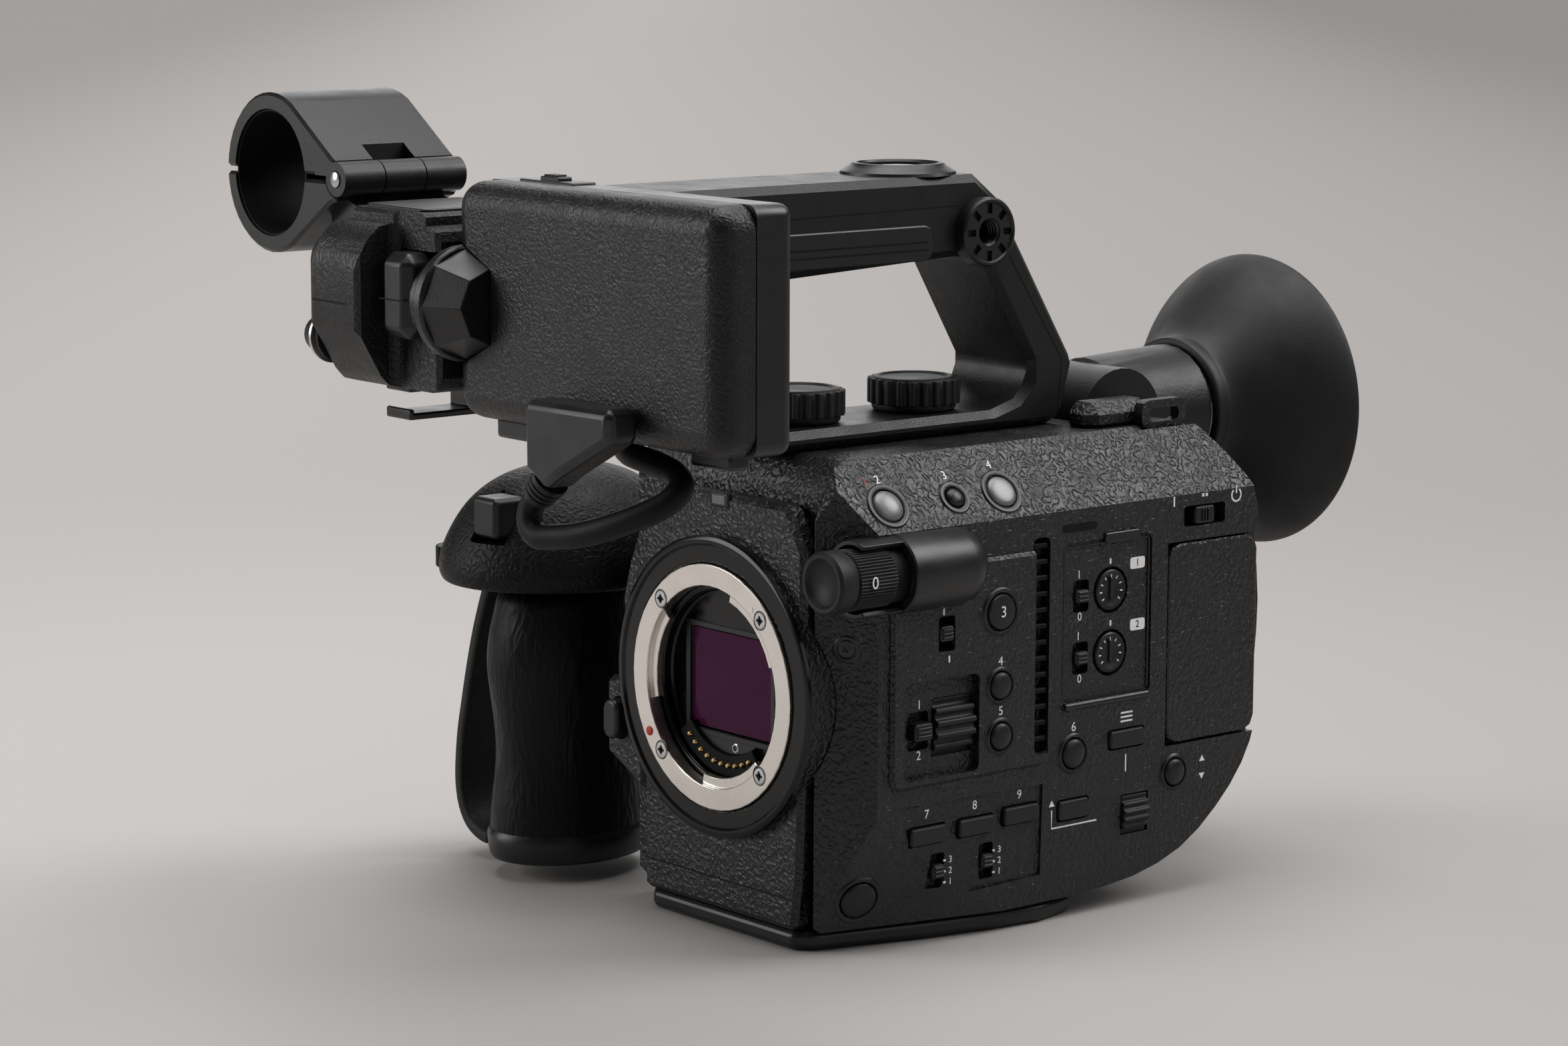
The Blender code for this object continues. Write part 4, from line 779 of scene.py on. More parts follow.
# %% Make the strap and its stitches
STRAP_PATH = [Vector((u, 0.0, v)) for u, v in (
    (-94.5, 77.0), (-97.5, 70.0), (-100.5, 62.0), (-103.5, 52.0), (-106.0, 42.0), (-107.9, 34.0),
    (-109.0, 26.0), (-109.2, 19.0), (-107.8, 13.0), (-104.6, 8.6), (-100.0, 6.4), (-95.6, 5.9))]
STRAP_FRONT, STRAP_BACK, STRAP_THICK, STITCH_IN = -75.0, -47.0, 3.4, 2.2


def band(path, thick):
    """The outline of a line of even thickness, seen along Y."""
    left, right = [], []
    for i, point in enumerate(path):
        along = (path[min(i + 1, len(path) - 1)] - path[max(i - 1, 0)]).normalized()
        out = Vector((-along.z, 0.0, along.x)) * thick / 2
        left.append((point.x + out.x, point.z + out.z))
        right.append((point.x - out.x, point.z - out.z))
    return left + right[::-1]


strap_line = smooth_route(STRAP_PATH, 3)
strap = plate("hand_strap_band", band(strap_line, STRAP_THICK), "y", STRAP_FRONT, STRAP_BACK, edge=1.1,
              steps=3)
stand_in(strap, webbing, "hand_strap", angle=50)
stitches = []
for edge_y in (STRAP_FRONT + STITCH_IN, STRAP_BACK - STITCH_IN):
    for here, ahead in zip(strap_line[4:-4], strap_line[5:-3]):
        along = (ahead - here).normalized()
        out = Vector((-along.z, 0.0, along.x))
        out = out if out.x < 0 else -out
        start = here + out * (STRAP_THICK / 2 + 0.05) + BACK * edge_y
        stitches.append(rod("stitch", start, start + along * 1.7, 0.22, sides=6))
settle(gather("strap_stitches", stitches), keycap, "grip")
print("stitches", len(stitches))

# %% [markdown]
# ## Thin lines and prints
# Scales, ticks and plain numbers are printed in white on the control side. Each is a thin raised piece, so
# that it is sharp from any distance. Seams are dark strips in the same way, and slots and grooves are dark
# strips of painted shade. A number is made flat at the origin and then stuck onto its face.

# %% Helpers for prints, seams and rims
INK = 0.05
COVER_FACE, RAISED_FACE, RECESS_FACE, WHEEL_FACE = 46.0, 47.2, 45.4, 45.0


def strip(route, width):
    """The outline of a line of even width through flat points."""
    return band([Vector((u, 0.0, v)) for u, v in route], width)


def seam(name, route, width, axis, face, material=None, body="root", rise=INK, deep=0.4):
    """A line on a flat face, dark unless a material is given: a seam, or painted shade in a slot or
    groove. The sign of rise says which way the face looks.
    """
    way = math.copysign(deep, rise)
    return settle(plate(name, strip(route, width), axis, face - way, face + rise), material or black_and_painted_shade, body)


def numeral(text, at, size, right=BACK, up=UP):
    """A raised number on a face."""
    bpy.ops.object.select_all(action="DESELECT")
    bpy.ops.object.text_add()
    piece = bpy.context.object
    piece.data.body = text
    piece.data.size = size * MM
    piece.data.extrude = INK * MM
    piece.data.align_x = "CENTER"
    piece.data.align_y = "CENTER"
    only(piece)
    bpy.ops.object.convert(target="MESH")
    piece = bpy.context.object
    piece.name = "number_" + text
    turn = Matrix((right, up, right.cross(up))).transposed().to_4x4()
    piece.matrix_world = Matrix.Translation(Vector(at) * MM) @ turn
    return baked(piece)


def bar(y, z, wide, tall, face):
    """A printed bar on the control side."""
    half = Vector((0.0, wide / 2, tall / 2))
    return block("bar", Vector((face - 0.2, y, z)) - half, Vector((face + INK, y, z)) + half)


def printed(name, outline, face):
    """A printed outline on the control side."""
    return plate(name, outline, "x", face - 0.2, face + INK)


def rim(name, centre, out, inner, outer, high, material=None):
    """A low ring round a button or a screw."""
    profile = [(-0.4, inner), (high * 0.7, inner), (high, inner + 0.25), (high, outer - 0.4), (0.0, outer),
               (-0.4, outer)]
    return settle(spun(name, centre, out, profile, closed=True, steps=48), material or satin)


print("prints ready")

# %% [markdown]
# ## Knurled knobs and wheels
# Two thumb knobs clamp the top handle to the body. Each is a rubber disc with raised ribs and a dished top.
# The iris wheel and the select wheel on the side stand in slots and have the same kind of ribs, finer ones on
# the smaller.

# %% Make knobs and wheels
KNOB_RIBS = 22
KNOB_WALL = ((0.0, 1.6), (0.5, 1.2), (1.4, 1.2), (7.6, 0.9), (8.3, 1.5), (8.5, 2.2), (8.4, 3.0), (7.9, 3.4))
for node in ("handle_knob_front", "handle_knob_rear"):
    low, mid, high = span(node)
    radius = (high.x - low.x) / 2
    outline = toothed(mid, radius, 1.0, KNOB_RIBS)
    ribbed = plate(node + "_rim", outline, "z", low.z + 1.6, high.z - 0.5, edge=0.35)
    wall = [(height, radius - inset) for height, inset in KNOB_WALL]
    core = spun(node + "_core", (*mid.xy, low.z), UP, [(0.0, 0.0)] + wall + [(7.8, 0.0)])
    stand_in(gather(node + "_knurled", [ribbed, core]), rubber, node)
for node, ribs, rise in (("iris_wheel", 20, 1.1), ("select_wheel", 22, 0.7)):
    low, mid, high = span(node)
    outline = toothed((mid.x, mid.z), (high.x - low.x) / 2, rise, ribs, 0.5)
    stand_in(plate(node + "_ribbed", outline, "y", low.y, high.y, edge=0.3), rubber, node, angle=30)
print("knobs and wheels", 4)

# %% [markdown]
# ## The filter dial
# The dial at the front corner has a smooth cap with a sunk disc, then a finely knurled band for two fingers.
# The housing behind it is part of the control cover, and a sleeve open on the outer side reaches over the
# band. A plain number stands on the band.

# %% Make the filter dial
nd_low, nd_mid, nd_high = span("nd_dial")
ND_RADIUS = (nd_high.x - nd_low.x) / 2
ND_AXIS = (nd_mid.x, nd_mid.z)
nd_cap = spun("nd_cap", (nd_mid.x, nd_low.y, nd_mid.z), BACK,
              [(1.2, 0.0), (1.2, 5.2), (0.5, 5.6), (0.0, 6.2), (0.0, 7.0), (0.7, ND_RADIUS), (5.2, ND_RADIUS),
               (5.8, ND_RADIUS - 0.6), (21.9, ND_RADIUS - 0.6), (21.9, 0.0)])
nd_band = plate("nd_band", toothed(ND_AXIS, ND_RADIUS - 0.1, 0.4, 56), "y", nd_low.y + 6.4, nd_high.y - 4.0,
                edge=0.12, steps=1)
stand_in(gather("nd_dial_knurled", [nd_cap, nd_band]), rubber, "nd_dial")
settle(numeral("0", (nd_mid.x + ND_RADIUS + 0.02, -66.5, nd_mid.z), 4.2), white_ink, "nd_dial")
HOUSING = 9.9
housing_profile = [(0.0, ND_RADIUS + 0.9), (0.0, HOUSING - 0.4), (0.4, HOUSING), (19.5, HOUSING),
                   (22.5, HOUSING - 0.6), (25.0, HOUSING - 2.2), (26.6, HOUSING - 4.8), (27.0, 0.0)]
settle(spun("filter_housing", (nd_mid.x, -54.9, nd_mid.z), BACK, housing_profile, steps=64), satin)
SLEEVE_OPEN = 62
sleeve_outline = ring_part(ND_AXIS, HOUSING - 0.3, ND_RADIUS + 0.6, SLEEVE_OPEN, 360 - SLEEVE_OPEN, 24)
settle(plate("filter_sleeve", sleeve_outline, "y", -67.5, -54.5, edge=0.25), satin)
print("filter dial at", [round(value, 1) for value in nd_mid])

# %% [markdown]
# ## Audio dials
# Two small dials sit flush in the audio panel. Each has a raised bar as its pointer and a white scale round
# its face.

# %% Make the audio dials
SCALE_TICKS, SCALE_END = 9, 130
for node in ("audio_dial_1", "audio_dial_2"):
    low, mid, high = span(node)
    radius = (high.y - low.y) / 2
    face = high.x - low.x
    disc = spun(node + "_disc", (low.x, mid.y, mid.z), RIGHT,
                [(0.0, 0.0), (0.0, radius), (face - 0.3, radius), (face, radius - 0.3), (face, radius - 1.0),
                 (face - 0.3, radius - 1.3), (face - 0.3, 0.0)], steps=48)
    pointer = block(node + "_pointer", (high.x - 0.4, mid.y - 0.5, mid.z - 2.2),
                    (high.x + 0.15, mid.y + 0.5, mid.z + 3.2), edge=0.2)
    stand_in(gather(node + "_turned", [disc, pointer]), keycap, node)
    marks = []
    for step in range(SCALE_TICKS):
        angle = math.radians(SCALE_END * (2 * step / (SCALE_TICKS - 1) - 1))
        out = Vector((0.0, math.sin(angle), math.cos(angle)))
        start = Vector((high.x - 0.28, mid.y, mid.z)) + out * (radius - 2.0)
        marks.append(rod("tick", start, start + out * 0.9, 0.17, sides=6))
    settle(gather(node + "_scale", marks), white_ink, node)
print("audio dials", 2)

# %% [markdown]
# ## Prints on the control side
# Each control keeps a tick, a scale or a plain number beside it, and the places of words and names are bare.
# The switch symbols are the usual bar, dots and open ring.

# %% Print the control side
prints = [bar(*place) for place in (
    (-39.5, 84.3, 0.5, 1.7, RAISED_FACE), (-37.6, 72.3, 0.5, 1.7, RAISED_FACE),
    (-38.6, 91.0, 0.4, 1.8, RAISED_FACE), (18.8, 90.4, 0.6, 1.4, RECESS_FACE),
    (19.1, 74.4, 0.6, 1.4, RECESS_FACE), (24.7, 37.4, 0.4, 4.6, COVER_FACE),
    (40.7, 103.5, 0.5, 2.6, COVER_FACE), (63.5, 104.6, 0.45, 2.0, COVER_FACE))]
prints += [bar(24.8, 48.4 + 1.1 * row, 4.2, 0.45, COVER_FACE) for row in range(3)]
prints += [bar(51.2 + 1.3 * side, 104.3, 0.8, 0.8, COVER_FACE) for side in (0, 1)]
prints += [bar(y, z, 0.7, 0.5, RECESS_FACE) for y in (-36.9, -20.4) for z in (21.2, 18.4, 15.6)]
prints.append(printed("bracket", strip([(-1.2, 28.6), (-1.2, 23.9), (14.6, 23.9)], 0.4), COVER_FACE))
prints.append(printed("open_ring", strip(arc((63.5, 103.2), 1.7, 55, -230, 19), 0.45), COVER_FACE))
for y, z, way in ((52.6, 34.0, 1), (52.6, 30.8, -1), (-1.2, 29.6, 1)):
    prints.append(printed("arrow", [(y - 1.0, z), (y + 1.0, z), (y, z + 1.6 * way)], COVER_FACE))
numbers = [("1", -45.4, 61.4, 3.2, WHEEL_FACE), ("2", -45.5, 48.7, 3.2, WHEEL_FACE),
           ("4", -20.4, 69.6, 3.2, RAISED_FACE), ("5", -20.2, 57.0, 3.2, RAISED_FACE),
           ("6", 6.1, 49.2, 3.4, COVER_FACE), ("7", -43.0, 33.7, 3.2, RECESS_FACE),
           ("8", -27.0, 33.7, 3.2, RECESS_FACE), ("9", -11.9, 34.2, 3.2, RECESS_FACE),
           ("1", 7.8, 88.0, 3.0, RECESS_FACE), ("0", 8.2, 77.2, 3.0, RECESS_FACE),
           ("1", 7.8, 72.2, 3.0, RECESS_FACE), ("0", 8.4, 61.2, 3.0, RECESS_FACE)]
numbers += [(text, y, z, 2.4, RECESS_FACE) for y in (-35.0, -18.5)
            for text, z in (("3", 21.2), ("2", 18.4), ("1", 15.6))]
prints += [numeral(text, (face, y, z), size) for text, y, z, size, face in numbers]
settle(gather("side_prints", prints), white_ink)
status_face = span("status_button")[2].x + 0.25
settle(numeral("3", (status_face, -20.5, 82.1), 4.0), white_ink, body_of["status_button"])
channel_plates, channel_numbers = [], []
for text, y, z in (("1", 28.4, 89.0), ("2", 28.7, 73.0)):
    outline = oblong((y - 2.6, z - 1.5), (y + 2.6, z + 1.5), 0.7)
    channel_plates.append(printed("channel_plate", outline, RECESS_FACE))
    channel_numbers.append(numeral(text, (RECESS_FACE + INK, y, z), 2.6))
settle(gather("channel_plates", channel_plates), white_ink)
settle(gather("channel_numbers", channel_numbers), black_and_painted_shade)
print("prints", len(prints))

# %% [markdown]
# ## Round buttons
# The round buttons have domed caps in low rings. Each cap is turned again from the CAD button's place and
# size, with a crown on top. Those on the upper slope have grey caps, as the photograph shows.

# %% Turn the round buttons
SLOPE_OUT = Vector((16.5, 0.0, 12.5)).normalized()
CROWN = ((0.45, 0.72), (0.85, 0.4), (1.0, 0.0))
round_buttons = [("status_button", RIGHT, 4.5, 4.0, 0.1, keycap, 1.7),
                 ("iris_button", RIGHT, 3.4, 4.0, 0.5, keycap, 1.4),
                 ("push_auto_button", RIGHT, 3.4, 4.0, 0.5, keycap, 1.4),
                 ("display_button", RIGHT, 3.8, 4.0, 0.6, keycap, 1.5),
                 ("slot_button", RIGHT, 3.5, 4.0, 0.5, keycap, 1.4),
                 ("record_button", SLOPE_OUT, 4.2, 4.0, 0.7, grey_cap, 2.0),
                 ("speed_button", SLOPE_OUT, 2.6, 4.0, 0.6, satin, 2.0),
                 ("full_auto_button", SLOPE_OUT, 4.2, 4.0, 0.3, grey_cap, 2.0),
                 ("wb_set_button", SCOOP_OUT, 4.8, 2.6, 0.6, keycap, 1.8)]
for node, out, radius, length, crown, cap_finish, ring in round_buttons:
    start = span(node)[1] - out * length / 2
    profile = [(0.0, 0.0), (0.0, radius), (length - 0.5, radius), (length - 0.1, radius - 0.3)]
    profile += [(length + crown * rise, radius * share) for rise, share in CROWN]
    stand_in(spun(node + "_cap", start, out, profile, steps=40), cap_finish, node, angle=40)
    rim(node + "_rim", start + out * (length - 0.8), out, radius + 0.5, radius + ring, 0.45)
slope_up = BACK.cross(SLOPE_OUT) * -1
slope_mid = Vector((46.0 - 12.5 * 0.36, 0.0, 105.0 + 16.5 * 0.36))


def slope_number(text, y, rise):
    return numeral(text, slope_mid + slope_up * rise + BACK * y, 3.2, BACK, slope_up)


settle(slope_number("1", -56.6, 7.4), red_ink)
slope_prints = [slope_number(*place) for place in (("2", -52.6, 7.4), ("3", -31.3, 6.4), ("4", -15.7, 7.8))]
settle(gather("slope_prints", slope_prints), white_ink)
print("round buttons", len(round_buttons))

# %% [markdown]
# ## Switches, vent and audio panel
# A slide switch has ridges for the fingertip, and they move with it. The tall vent has louvres inside. The
# audio panel has a hinge bar at its foot and a latch at its head.

# %% Add ridges, louvres and the panel's hinge
for node in ("nd_mode_switch", "nd_iris_selector", "gain_switch", "wb_switch", "audio_switch_1",
             "audio_switch_2", "power_switch"):
    low, mid, high = span(node)
    along, across = (BACK, UP) if node == "power_switch" else (UP, BACK)
    half = along * 0.25 + across * (high - low).dot(across) * 0.36
    ridges = []
    for shift in (-1.0, 0.0, 1.0):
        centre = Vector((high.x, mid.y, mid.z)) + along * shift
        ridges.append(block("ridge", centre - half - RIGHT * 0.3, centre + half + RIGHT * 0.35, 0.1, 1))
    settle(gather(node + "_ridges", ridges), keycap, body_of[node])
louvres = [block("louvre", (43.1, -8.2, z), (45.7, -3.2, z + 1.3), 0.25, 1)
           for z in (47.0 + 4.1 * row for row in range(13))]
settle(gather("vent_louvres", louvres), black_and_painted_shade)
hinge_bar = rod("audio_hinge_bar", (45.9, 2.6, 54.6), (45.9, 32.2, 54.6), 1.0, edge=0.3, sides=20)
latch = plate("audio_latch", oblong((15.8, 95.4), (28.1, 98.0), 0.9), "x", 45.0, 46.8, edge=0.3)
settle(gather("audio_panel_trim", [hinge_bar, latch]), satin)
PANEL_LEFT, PANEL_RIGHT, PANEL_LOW, PANEL_HIGH = 2.5, 32.2, 56.6, 95.4
for number, route in enumerate((((PANEL_LEFT, PANEL_LOW), (PANEL_LEFT, PANEL_HIGH)),
                                ((PANEL_RIGHT, PANEL_LOW), (PANEL_RIGHT, PANEL_HIGH)),
                                ((PANEL_LEFT, PANEL_HIGH), (PANEL_RIGHT, PANEL_HIGH)))):
    seam(f"audio_panel_edge_{number}", route, 0.5, "x", RECESS_FACE, satin, rise=0.3)
# The dark plate is painted shade inside the microphone slot.
settle(plate("microphone_slot", oblong((1.3, 99.3), (13.4, 101.4), 1.0), "x", 45.0, COVER_FACE + INK), black_and_painted_shade)
print("louvres", len(louvres))

# %% [markdown]
# ## The lens mount
# Four countersunk screws hold the steel ring. A red dot and a white mark show where a lens goes in. Inside, a
# row of sprung gold pins sits on a black curved block below the filter window, with a small plate above it.
# The block is made darker still, as painted shade deep in the throat. A smooth collar with a raised lip lies
# round the ring.

# %% Add screws, marks and contacts
RING_FRONT, LINER_FACE = -75.0, -67.9
LENS_AXIS, FRONT = (0.0, MOUNT_Z), (0, -1, 0)
for number, (x, z) in enumerate(((-19.6, 82.2), (19.6, 82.2), (-19.5, 43.4), (19.5, 43.4))):
    rim(f"ring_seat_{number}", (x, RING_FRONT + 0.12, z), FRONT, 2.1, 2.7, 0.2, dark_metal)
    screw(f"ring_screw_{number}", (x, RING_FRONT + 0.2, z), FRONT, 2.1, bright)
    # Each dark cross fills the screw head's cross recess as painted shade.
    for way, (across, up) in (("flat", (1.2, 0.0)), ("tall", (0.0, 1.2))):
        seam(f"ring_cross_{way}_{number}", [(x - across, z - up), (x + across, z + up)], 0.55, "y",
             RING_FRONT - 0.2, rise=-INK)
dot = spun("red_dot", (-24.3, RING_FRONT, 47.5), FRONT,
           [(-0.2, 0.0), (-0.2, 1.3), (0.2, 1.2), (0.45, 0.7), (0.5, 0.0)], steps=24)
settle(dot, red_ink)
mark = block("white_mark", (15.5, RING_FRONT - 0.15, 83.7), (16.9, RING_FRONT + 0.3, 85.1), 0.1, 1)
settle(mark, white_ink)
# The block's own black is made darker still as painted shade deep in the throat.
contact_block = plate("contact_block", ring_part(LENS_AXIS, 23.4, 17.9, 218, 304, 20), "y", LINER_FACE + 0.2,
                      LINER_FACE - 1.9, edge=0.3)
settle(contact_block, black_and_painted_shade)
shelf = plate("contact_shelf", arc(LENS_AXIS, 17.8, 232, 308, 20), "y", LINER_FACE + 0.3, LINER_FACE - 0.6,
              edge=0.15)
settle(shelf, satin)
rim("shelf_hole", (2.2, LINER_FACE - 0.6, 46.5), FRONT, 0.8, 1.2, 0.2, bright)
PIN_PROFILE = [(0.0, 0.0), (0.0, 0.75), (0.7, 0.7), (1.1, 0.4), (1.2, 0.0)]
pins = [spun("pin", (x, LINER_FACE - 1.6, z), FRONT, PIN_PROFILE, steps=16)
        for x, z in arc(LENS_AXIS, 20.4, 226, 297, 9)]
settle(gather("contact_pins", pins), gold)
FRAME_BARS = ((-17.6, 49.0, -15.9, 76.0), (15.9, 49.0, 17.6, 76.0), (-17.6, 75.4, 17.6, 77.0),
              (-17.6, 48.0, 17.6, 49.6))
frame_bars = [block("bar", (x0, LINER_FACE - 0.7, z0), (x1, LINER_FACE + 0.4, z1), 0.2, 1)
              for x0, z0, x1, z1 in FRAME_BARS]
settle(gather("window_frame", frame_bars), satin)
collar = spun("mount_collar", (0, -73.7, MOUNT_Z), FRONT,
              [(0.0, 31.6), (0.5, 31.8), (0.5, 35.4), (1.1, 36.1), (1.2, 37.2), (0.8, 37.9), (0.0, 38.1)],
              closed=True, steps=128)
settle(collar, mount_black)
print("contacts", len(pins))

# %% [markdown]
# ## The front
# A small window for the tally lamp sits at the top edge of the front. A blackened screw holds the cover at
# the corner, and a fine seam shows where the front's foot flares.

# %% Add the tally window, the corner screw and the seam
settle(block("tally_frame", (-2.9, -72.5, 107.7), (3.9, -71.2, 111.4), 0.5), satin)
settle(block("tally_pane", (-2.0, -72.75, 108.4), (3.0, -72.2, 110.7), 0.25), window_pane)
CORNER_AT = (40.0, -64.7, 77.0)
CORNER_OUT = Vector((12.0, -14.0, 0.0)).normalized()
rim("corner_screw_seat", CORNER_AT, CORNER_OUT, 2.3, 3.4, 0.3)
screw("corner_screw", CORNER_AT, CORNER_OUT, 2.2, dark_metal)
seam("front_foot_seam", [(-29.6, 13.3), (28.4, 13.3)], 0.4, "y", -72.0, rise=-INK)
print("front done")

# %% [markdown]
# ## The top handle
# A satin pad with two grooves lies along each side of the bar. At the rear end is a round boss for
# accessories, with eight slots round a thread. The record button on top stands in a stepped collar.

# %% Dress the handle
HANDLE_HALF, PAD_RISE = 15.5, 0.7
for side, word in ((-1, "far"), (1, "near")):
    face = side * HANDLE_HALF
    pad = plate(f"handle_pad_{word}", oblong((-113.0, 166.6), (-15.8, 175.6), 3.4), "x", face - side * 0.5,
                face + side * PAD_RISE, edge=0.4)
    settle(pad, satin)
    # The dark grooves are painted shade.
    for number, z in enumerate((171.3, 169.4)):
        seam(f"pad_groove_{word}_{number}", [(-112.0, z), (-18.0, z)], 0.45, "x", face + side * PAD_RISE,
             rise=side * INK)
    seam(f"bar_seam_{word}", [(-119.0, 178.4), (-8.0, 179.9)], 0.3, "x", face, rise=side * INK)
    seam(f"leg_seam_{word}", [(10.2, 166.5), (29.4, 138.2), (28.0, 124.5)], 0.3, "x", face, rise=side * INK)
BOSS = Vector((18.0, 0.5, 173.0))
# The dark floor seen through the slots is painted shade.
boss_floor = [(-0.2, 3.4), (0.04, 3.4), (0.04, 7.6), (-0.2, 7.6)]
settle(spun("rosette_floor", BOSS, RIGHT, boss_floor, closed=True), black_and_painted_shade)
rosette = spun("handle_rosette_disc", BOSS, RIGHT,
               [(-3.3, 8.3), (-3.3, 8.8), (0.7, 8.8), (1.2, 8.3), (1.2, 7.7), (0.8, 7.4), (0.8, 3.6),
                (-3.3, 3.6)], closed=True)
for turn in range(0, 360, 45):
    out = Vector((0, math.cos(math.radians(turn)), math.sin(math.radians(turn))))
    across = Vector((0, -out.z, out.y))
    slot = block("slot", (-2.0, -1.3, -0.85), (2.0, 1.3, 0.85))
    facing = Matrix((RIGHT, out, across)).transposed().to_4x4()
    slot.matrix_world = Matrix.Translation((BOSS + out * 6.0) * MM) @ facing
    carve(rosette, slot)
settle(rosette, satin)
thread = [(-3.0 + 0.5 * step, 3.5 if step % 2 else 3.0) for step in range(8)] + [(0.5, 4.0), (-3.0, 4.0)]
settle(spun("rosette_thread", BOSS, RIGHT, thread, closed=True, steps=40), dark_metal)
_, disc_mid, disc_high = span("handle_record_button")
settle(spun("record_collar", (disc_mid.x, disc_mid.y, 187.4), UP,
            [(0.0, 10.1), (2.3, 10.1), (2.9, 10.6), (2.9, 11.6), (2.2, 12.3), (1.7, 13.2), (0.8, 14.6),
             (0.0, 14.9)], closed=True), satin)
record_cap = spun("record_cap", (disc_mid.x, disc_mid.y, disc_high.z), UP,
                  [(-0.2, 0.0), (-0.2, 5.4), (0.1, 5.6), (0.5, 5.2), (0.6, 3.4), (0.4, 0.0)])
settle(record_cap, grey_cap, body_of["handle_record_button"])
print("handle dressed")

# %% [markdown]
# ## Front block, clamp and microphone holder
# The block is moulded in two halves, so a seam runs round it. Its knob has a bright ring. The clamp that
# holds the monitor is split and drawn together by a socket screw, and the holder's lid turns on a steel pin.

# %% Add seams, screws and the pin's ends
BLOCK_SEAM, CLAMP_SEAM = 163.4, 165.2
seam("block_seam", [(-28.0, BLOCK_SEAM), (-13.5, BLOCK_SEAM)], 0.4, "y", -172.0, rise=-INK)
seam("block_side_seam", [(-166.0, BLOCK_SEAM), (-126.0, BLOCK_SEAM)], 0.4, "x", -31.0, rise=-INK)
settle(spun("knob_ring", (-31.2, -164.0, 154.0), (-1, 0, 0),
            [(0.0, 4.0), (0.0, 6.5), (0.9, 6.5), (1.1, 6.2), (1.1, 4.0)], closed=True, steps=48), bright)
settle(plate("shoe_cover", oblong((-24.0, -160.0), (1.0, -132.0), 2.5), "z", 184.8, 185.7, edge=0.3), satin)
seam("clamp_seam", [(-6.0, CLAMP_SEAM), (4.4, CLAMP_SEAM)], 0.35, "y", -168.0, rise=-INK)
seam("clamp_side_seam", [(-167.4, CLAMP_SEAM), (-156.6, CLAMP_SEAM)], 0.35, "x", 5.0)
socket = spun("clamp_screw", (4.8, -164.2, 160.4), RIGHT,
              [(0.0, 0.0), (0.0, 2.0), (0.5, 2.0), (0.7, 1.8), (0.7, 0.0)], steps=32)
carve(socket, rod("hex_key", (4.9, -164.2, 160.4), (7.0, -164.2, 160.4), 1.2, sides=6))
settle(socket, dark_metal)
for number, (start, way) in enumerate(((-157.0, -1), (-121.5, 1))):
    pin_end = spun(f"pin_end_{number}", (-40.0, start, 190.0), (0, way, 0),
                   [(-0.3, 0.0), (-0.3, 1.9), (0.3, 1.9), (0.6, 1.5), (0.7, 0.0)], steps=24)
    settle(pin_end, bright)
print("front block done")

# %% [markdown]
# ## The monitor
# A slide switch lies on the monitor's upper edge, and two brackets hang below it. All of them tilt with it.

# %% Add the monitor's switch and brackets
ledge = block("ledge", (21.0, -147.4, 192.7), (41.0, -140.6, 193.5), 0.3)
slider = block("slider", (27.0, -146.0, 193.2), (34.0, -142.0, 194.4), 0.4)
ribs = [block("rib", (x, -145.6, 194.2), (x + 0.5, -142.4, 194.8), 0.1, 1)
        for x in (28.0 + 1.3 * number for number in range(4))]
settle(gather("monitor_switch", [ledge, slider] + ribs), satin, "monitor")
brackets = [block("bracket", (19.0, -153.0, 134.2), (42.0, -145.0, 139.0), 0.9),
            block("bracket", (84.0, -148.0, 134.6), (98.0, -142.0, 139.0), 0.9)]
settle(gather("monitor_brackets", brackets), satin, "monitor")
print("monitor done")

# %% [markdown]
# ## Foot of the grip
# The handle of the grip ends in a moulded foot, which is bridged from a few ovals like the handle.

# %% Finish the foot of the grip
FOOT_SECTIONS = [(4.15, 15.8, 20.8), (4.5, 17.2, 22.4), (6.5, 18.0, 23.3), (12.0, 18.3, 23.6),
                 (13.2, 17.9, 23.2)]
foot = bridged("grip_foot", GRIP_AXIS, FOOT_SECTIONS, levels=1)
settle(foot, satin, "grip", angle=50)
print("foot of the grip")

# %% [markdown]
# ## The back
# The photograph doesn't show the back, so it gets what such a rig has: a battery with finger grooves, a plain
# label and a latch.

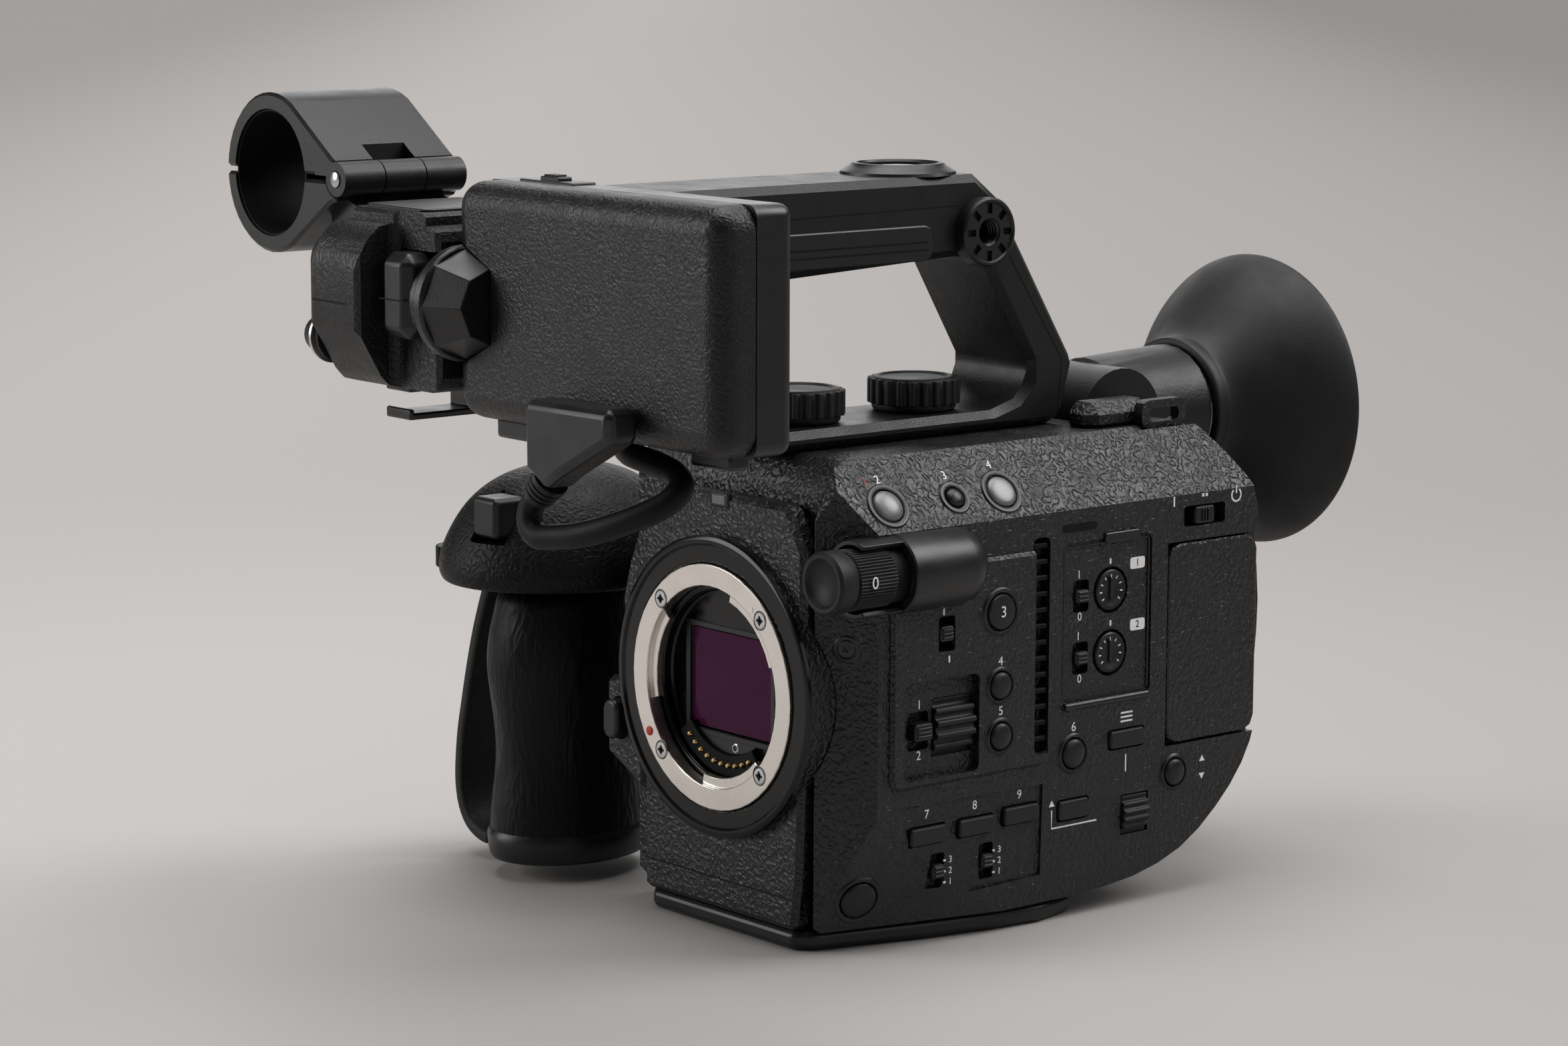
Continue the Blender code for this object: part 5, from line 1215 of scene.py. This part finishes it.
# %% Finish the back
battery_low, _, battery_high = span("battery_pack")
BATTERY_BODY = body_of["battery_pack"]
LABEL_LEFT, LABEL_RIGHT = battery_low.x + 8.0, battery_high.x - 8.0
# The dark grooves are painted shade.
for number in range(5):
    z = battery_low.z + 12.0 + 3.0 * number
    seam(f"battery_groove_{number}", [(LABEL_LEFT, z), (LABEL_RIGHT, z)], 0.9, "y", battery_high.y,
         body=BATTERY_BODY)
label_outline = oblong((LABEL_LEFT, 62.0), (LABEL_RIGHT, 78.0), 1.5)
label = plate("battery_label", label_outline, "y", battery_high.y - 0.3, battery_high.y + 0.1, edge=0.05,
              steps=1)
settle(label, keycap, BATTERY_BODY)
settle(block("battery_latch", (-14.0, 74.6, 88.0), (0.0, 76.6, 93.0), 0.7), keycap)
print("back done")

# %% [markdown]
# ## The far side
# It isn't shown either. Rubber covers lie over the sockets, with a tab each, beside an air outlet and four
# screws.

# %% Finish the far side
FAR_FACE = -43.0
for number, (y0, y1, z0, z1) in enumerate(((-18.0, 8.0, 22.0, 46.0), (-18.0, 8.0, 50.0, 62.0),
                                           (14.0, 42.0, 26.0, 46.0))):
    flap = plate(f"socket_cover_{number}", oblong((y0, z0), (y1, z1), 2.0), "x", FAR_FACE + 0.5,
                 FAR_FACE - 1.0, edge=0.5)
    settle(flap, rubber)
    middle = (z0 + z1) / 2
    tab = block(f"cover_tab_{number}", (FAR_FACE - 1.7, y1 - 4.5, middle - 3.0),
                (FAR_FACE - 0.6, y1 - 1.2, middle + 3.0), 0.4)
    settle(tab, rubber)
# The dark strips are painted shade inside the air slots.
for number in range(8):
    z = 66.0 + 4.0 * number
    seam(f"air_slot_{number}", [(16.0, z), (48.0, z)], 1.8, "x", FAR_FACE, rise=-INK)
for number, (y, z) in enumerate(((-56.0, 16.0), (-56.0, 110.0), (52.0, 30.0), (52.0, 104.0))):
    screw(f"far_screw_{number}", (FAR_FACE, y, z), (-1, 0, 0), 2.2, dark_metal)
print("far side done")

# %% [markdown]
# ## The underside
# A threaded bush takes a tripod's screw, and four screws hold the base plate.

# %% Finish the underside
BUSH_PROFILE = [(-3.0, 3.2), (-3.0, 3.9), (0.2, 3.9), (0.2, 6.0), (0.36, 5.8), (0.36, 3.4)]
settle(spun("tripod_bush", (0.0, -30.0, 0.3), (0, 0, -1), BUSH_PROFILE, closed=True, steps=48), bright)
for number, (x, y) in enumerate(((-24.0, -60.0), (24.0, -60.0), (-32.0, 2.0), (34.0, 0.0))):
    screw(f"base_screw_{number}", (x, y, 0.45), (0, 0, -1), 2.2, dark_metal)
print("underside done")
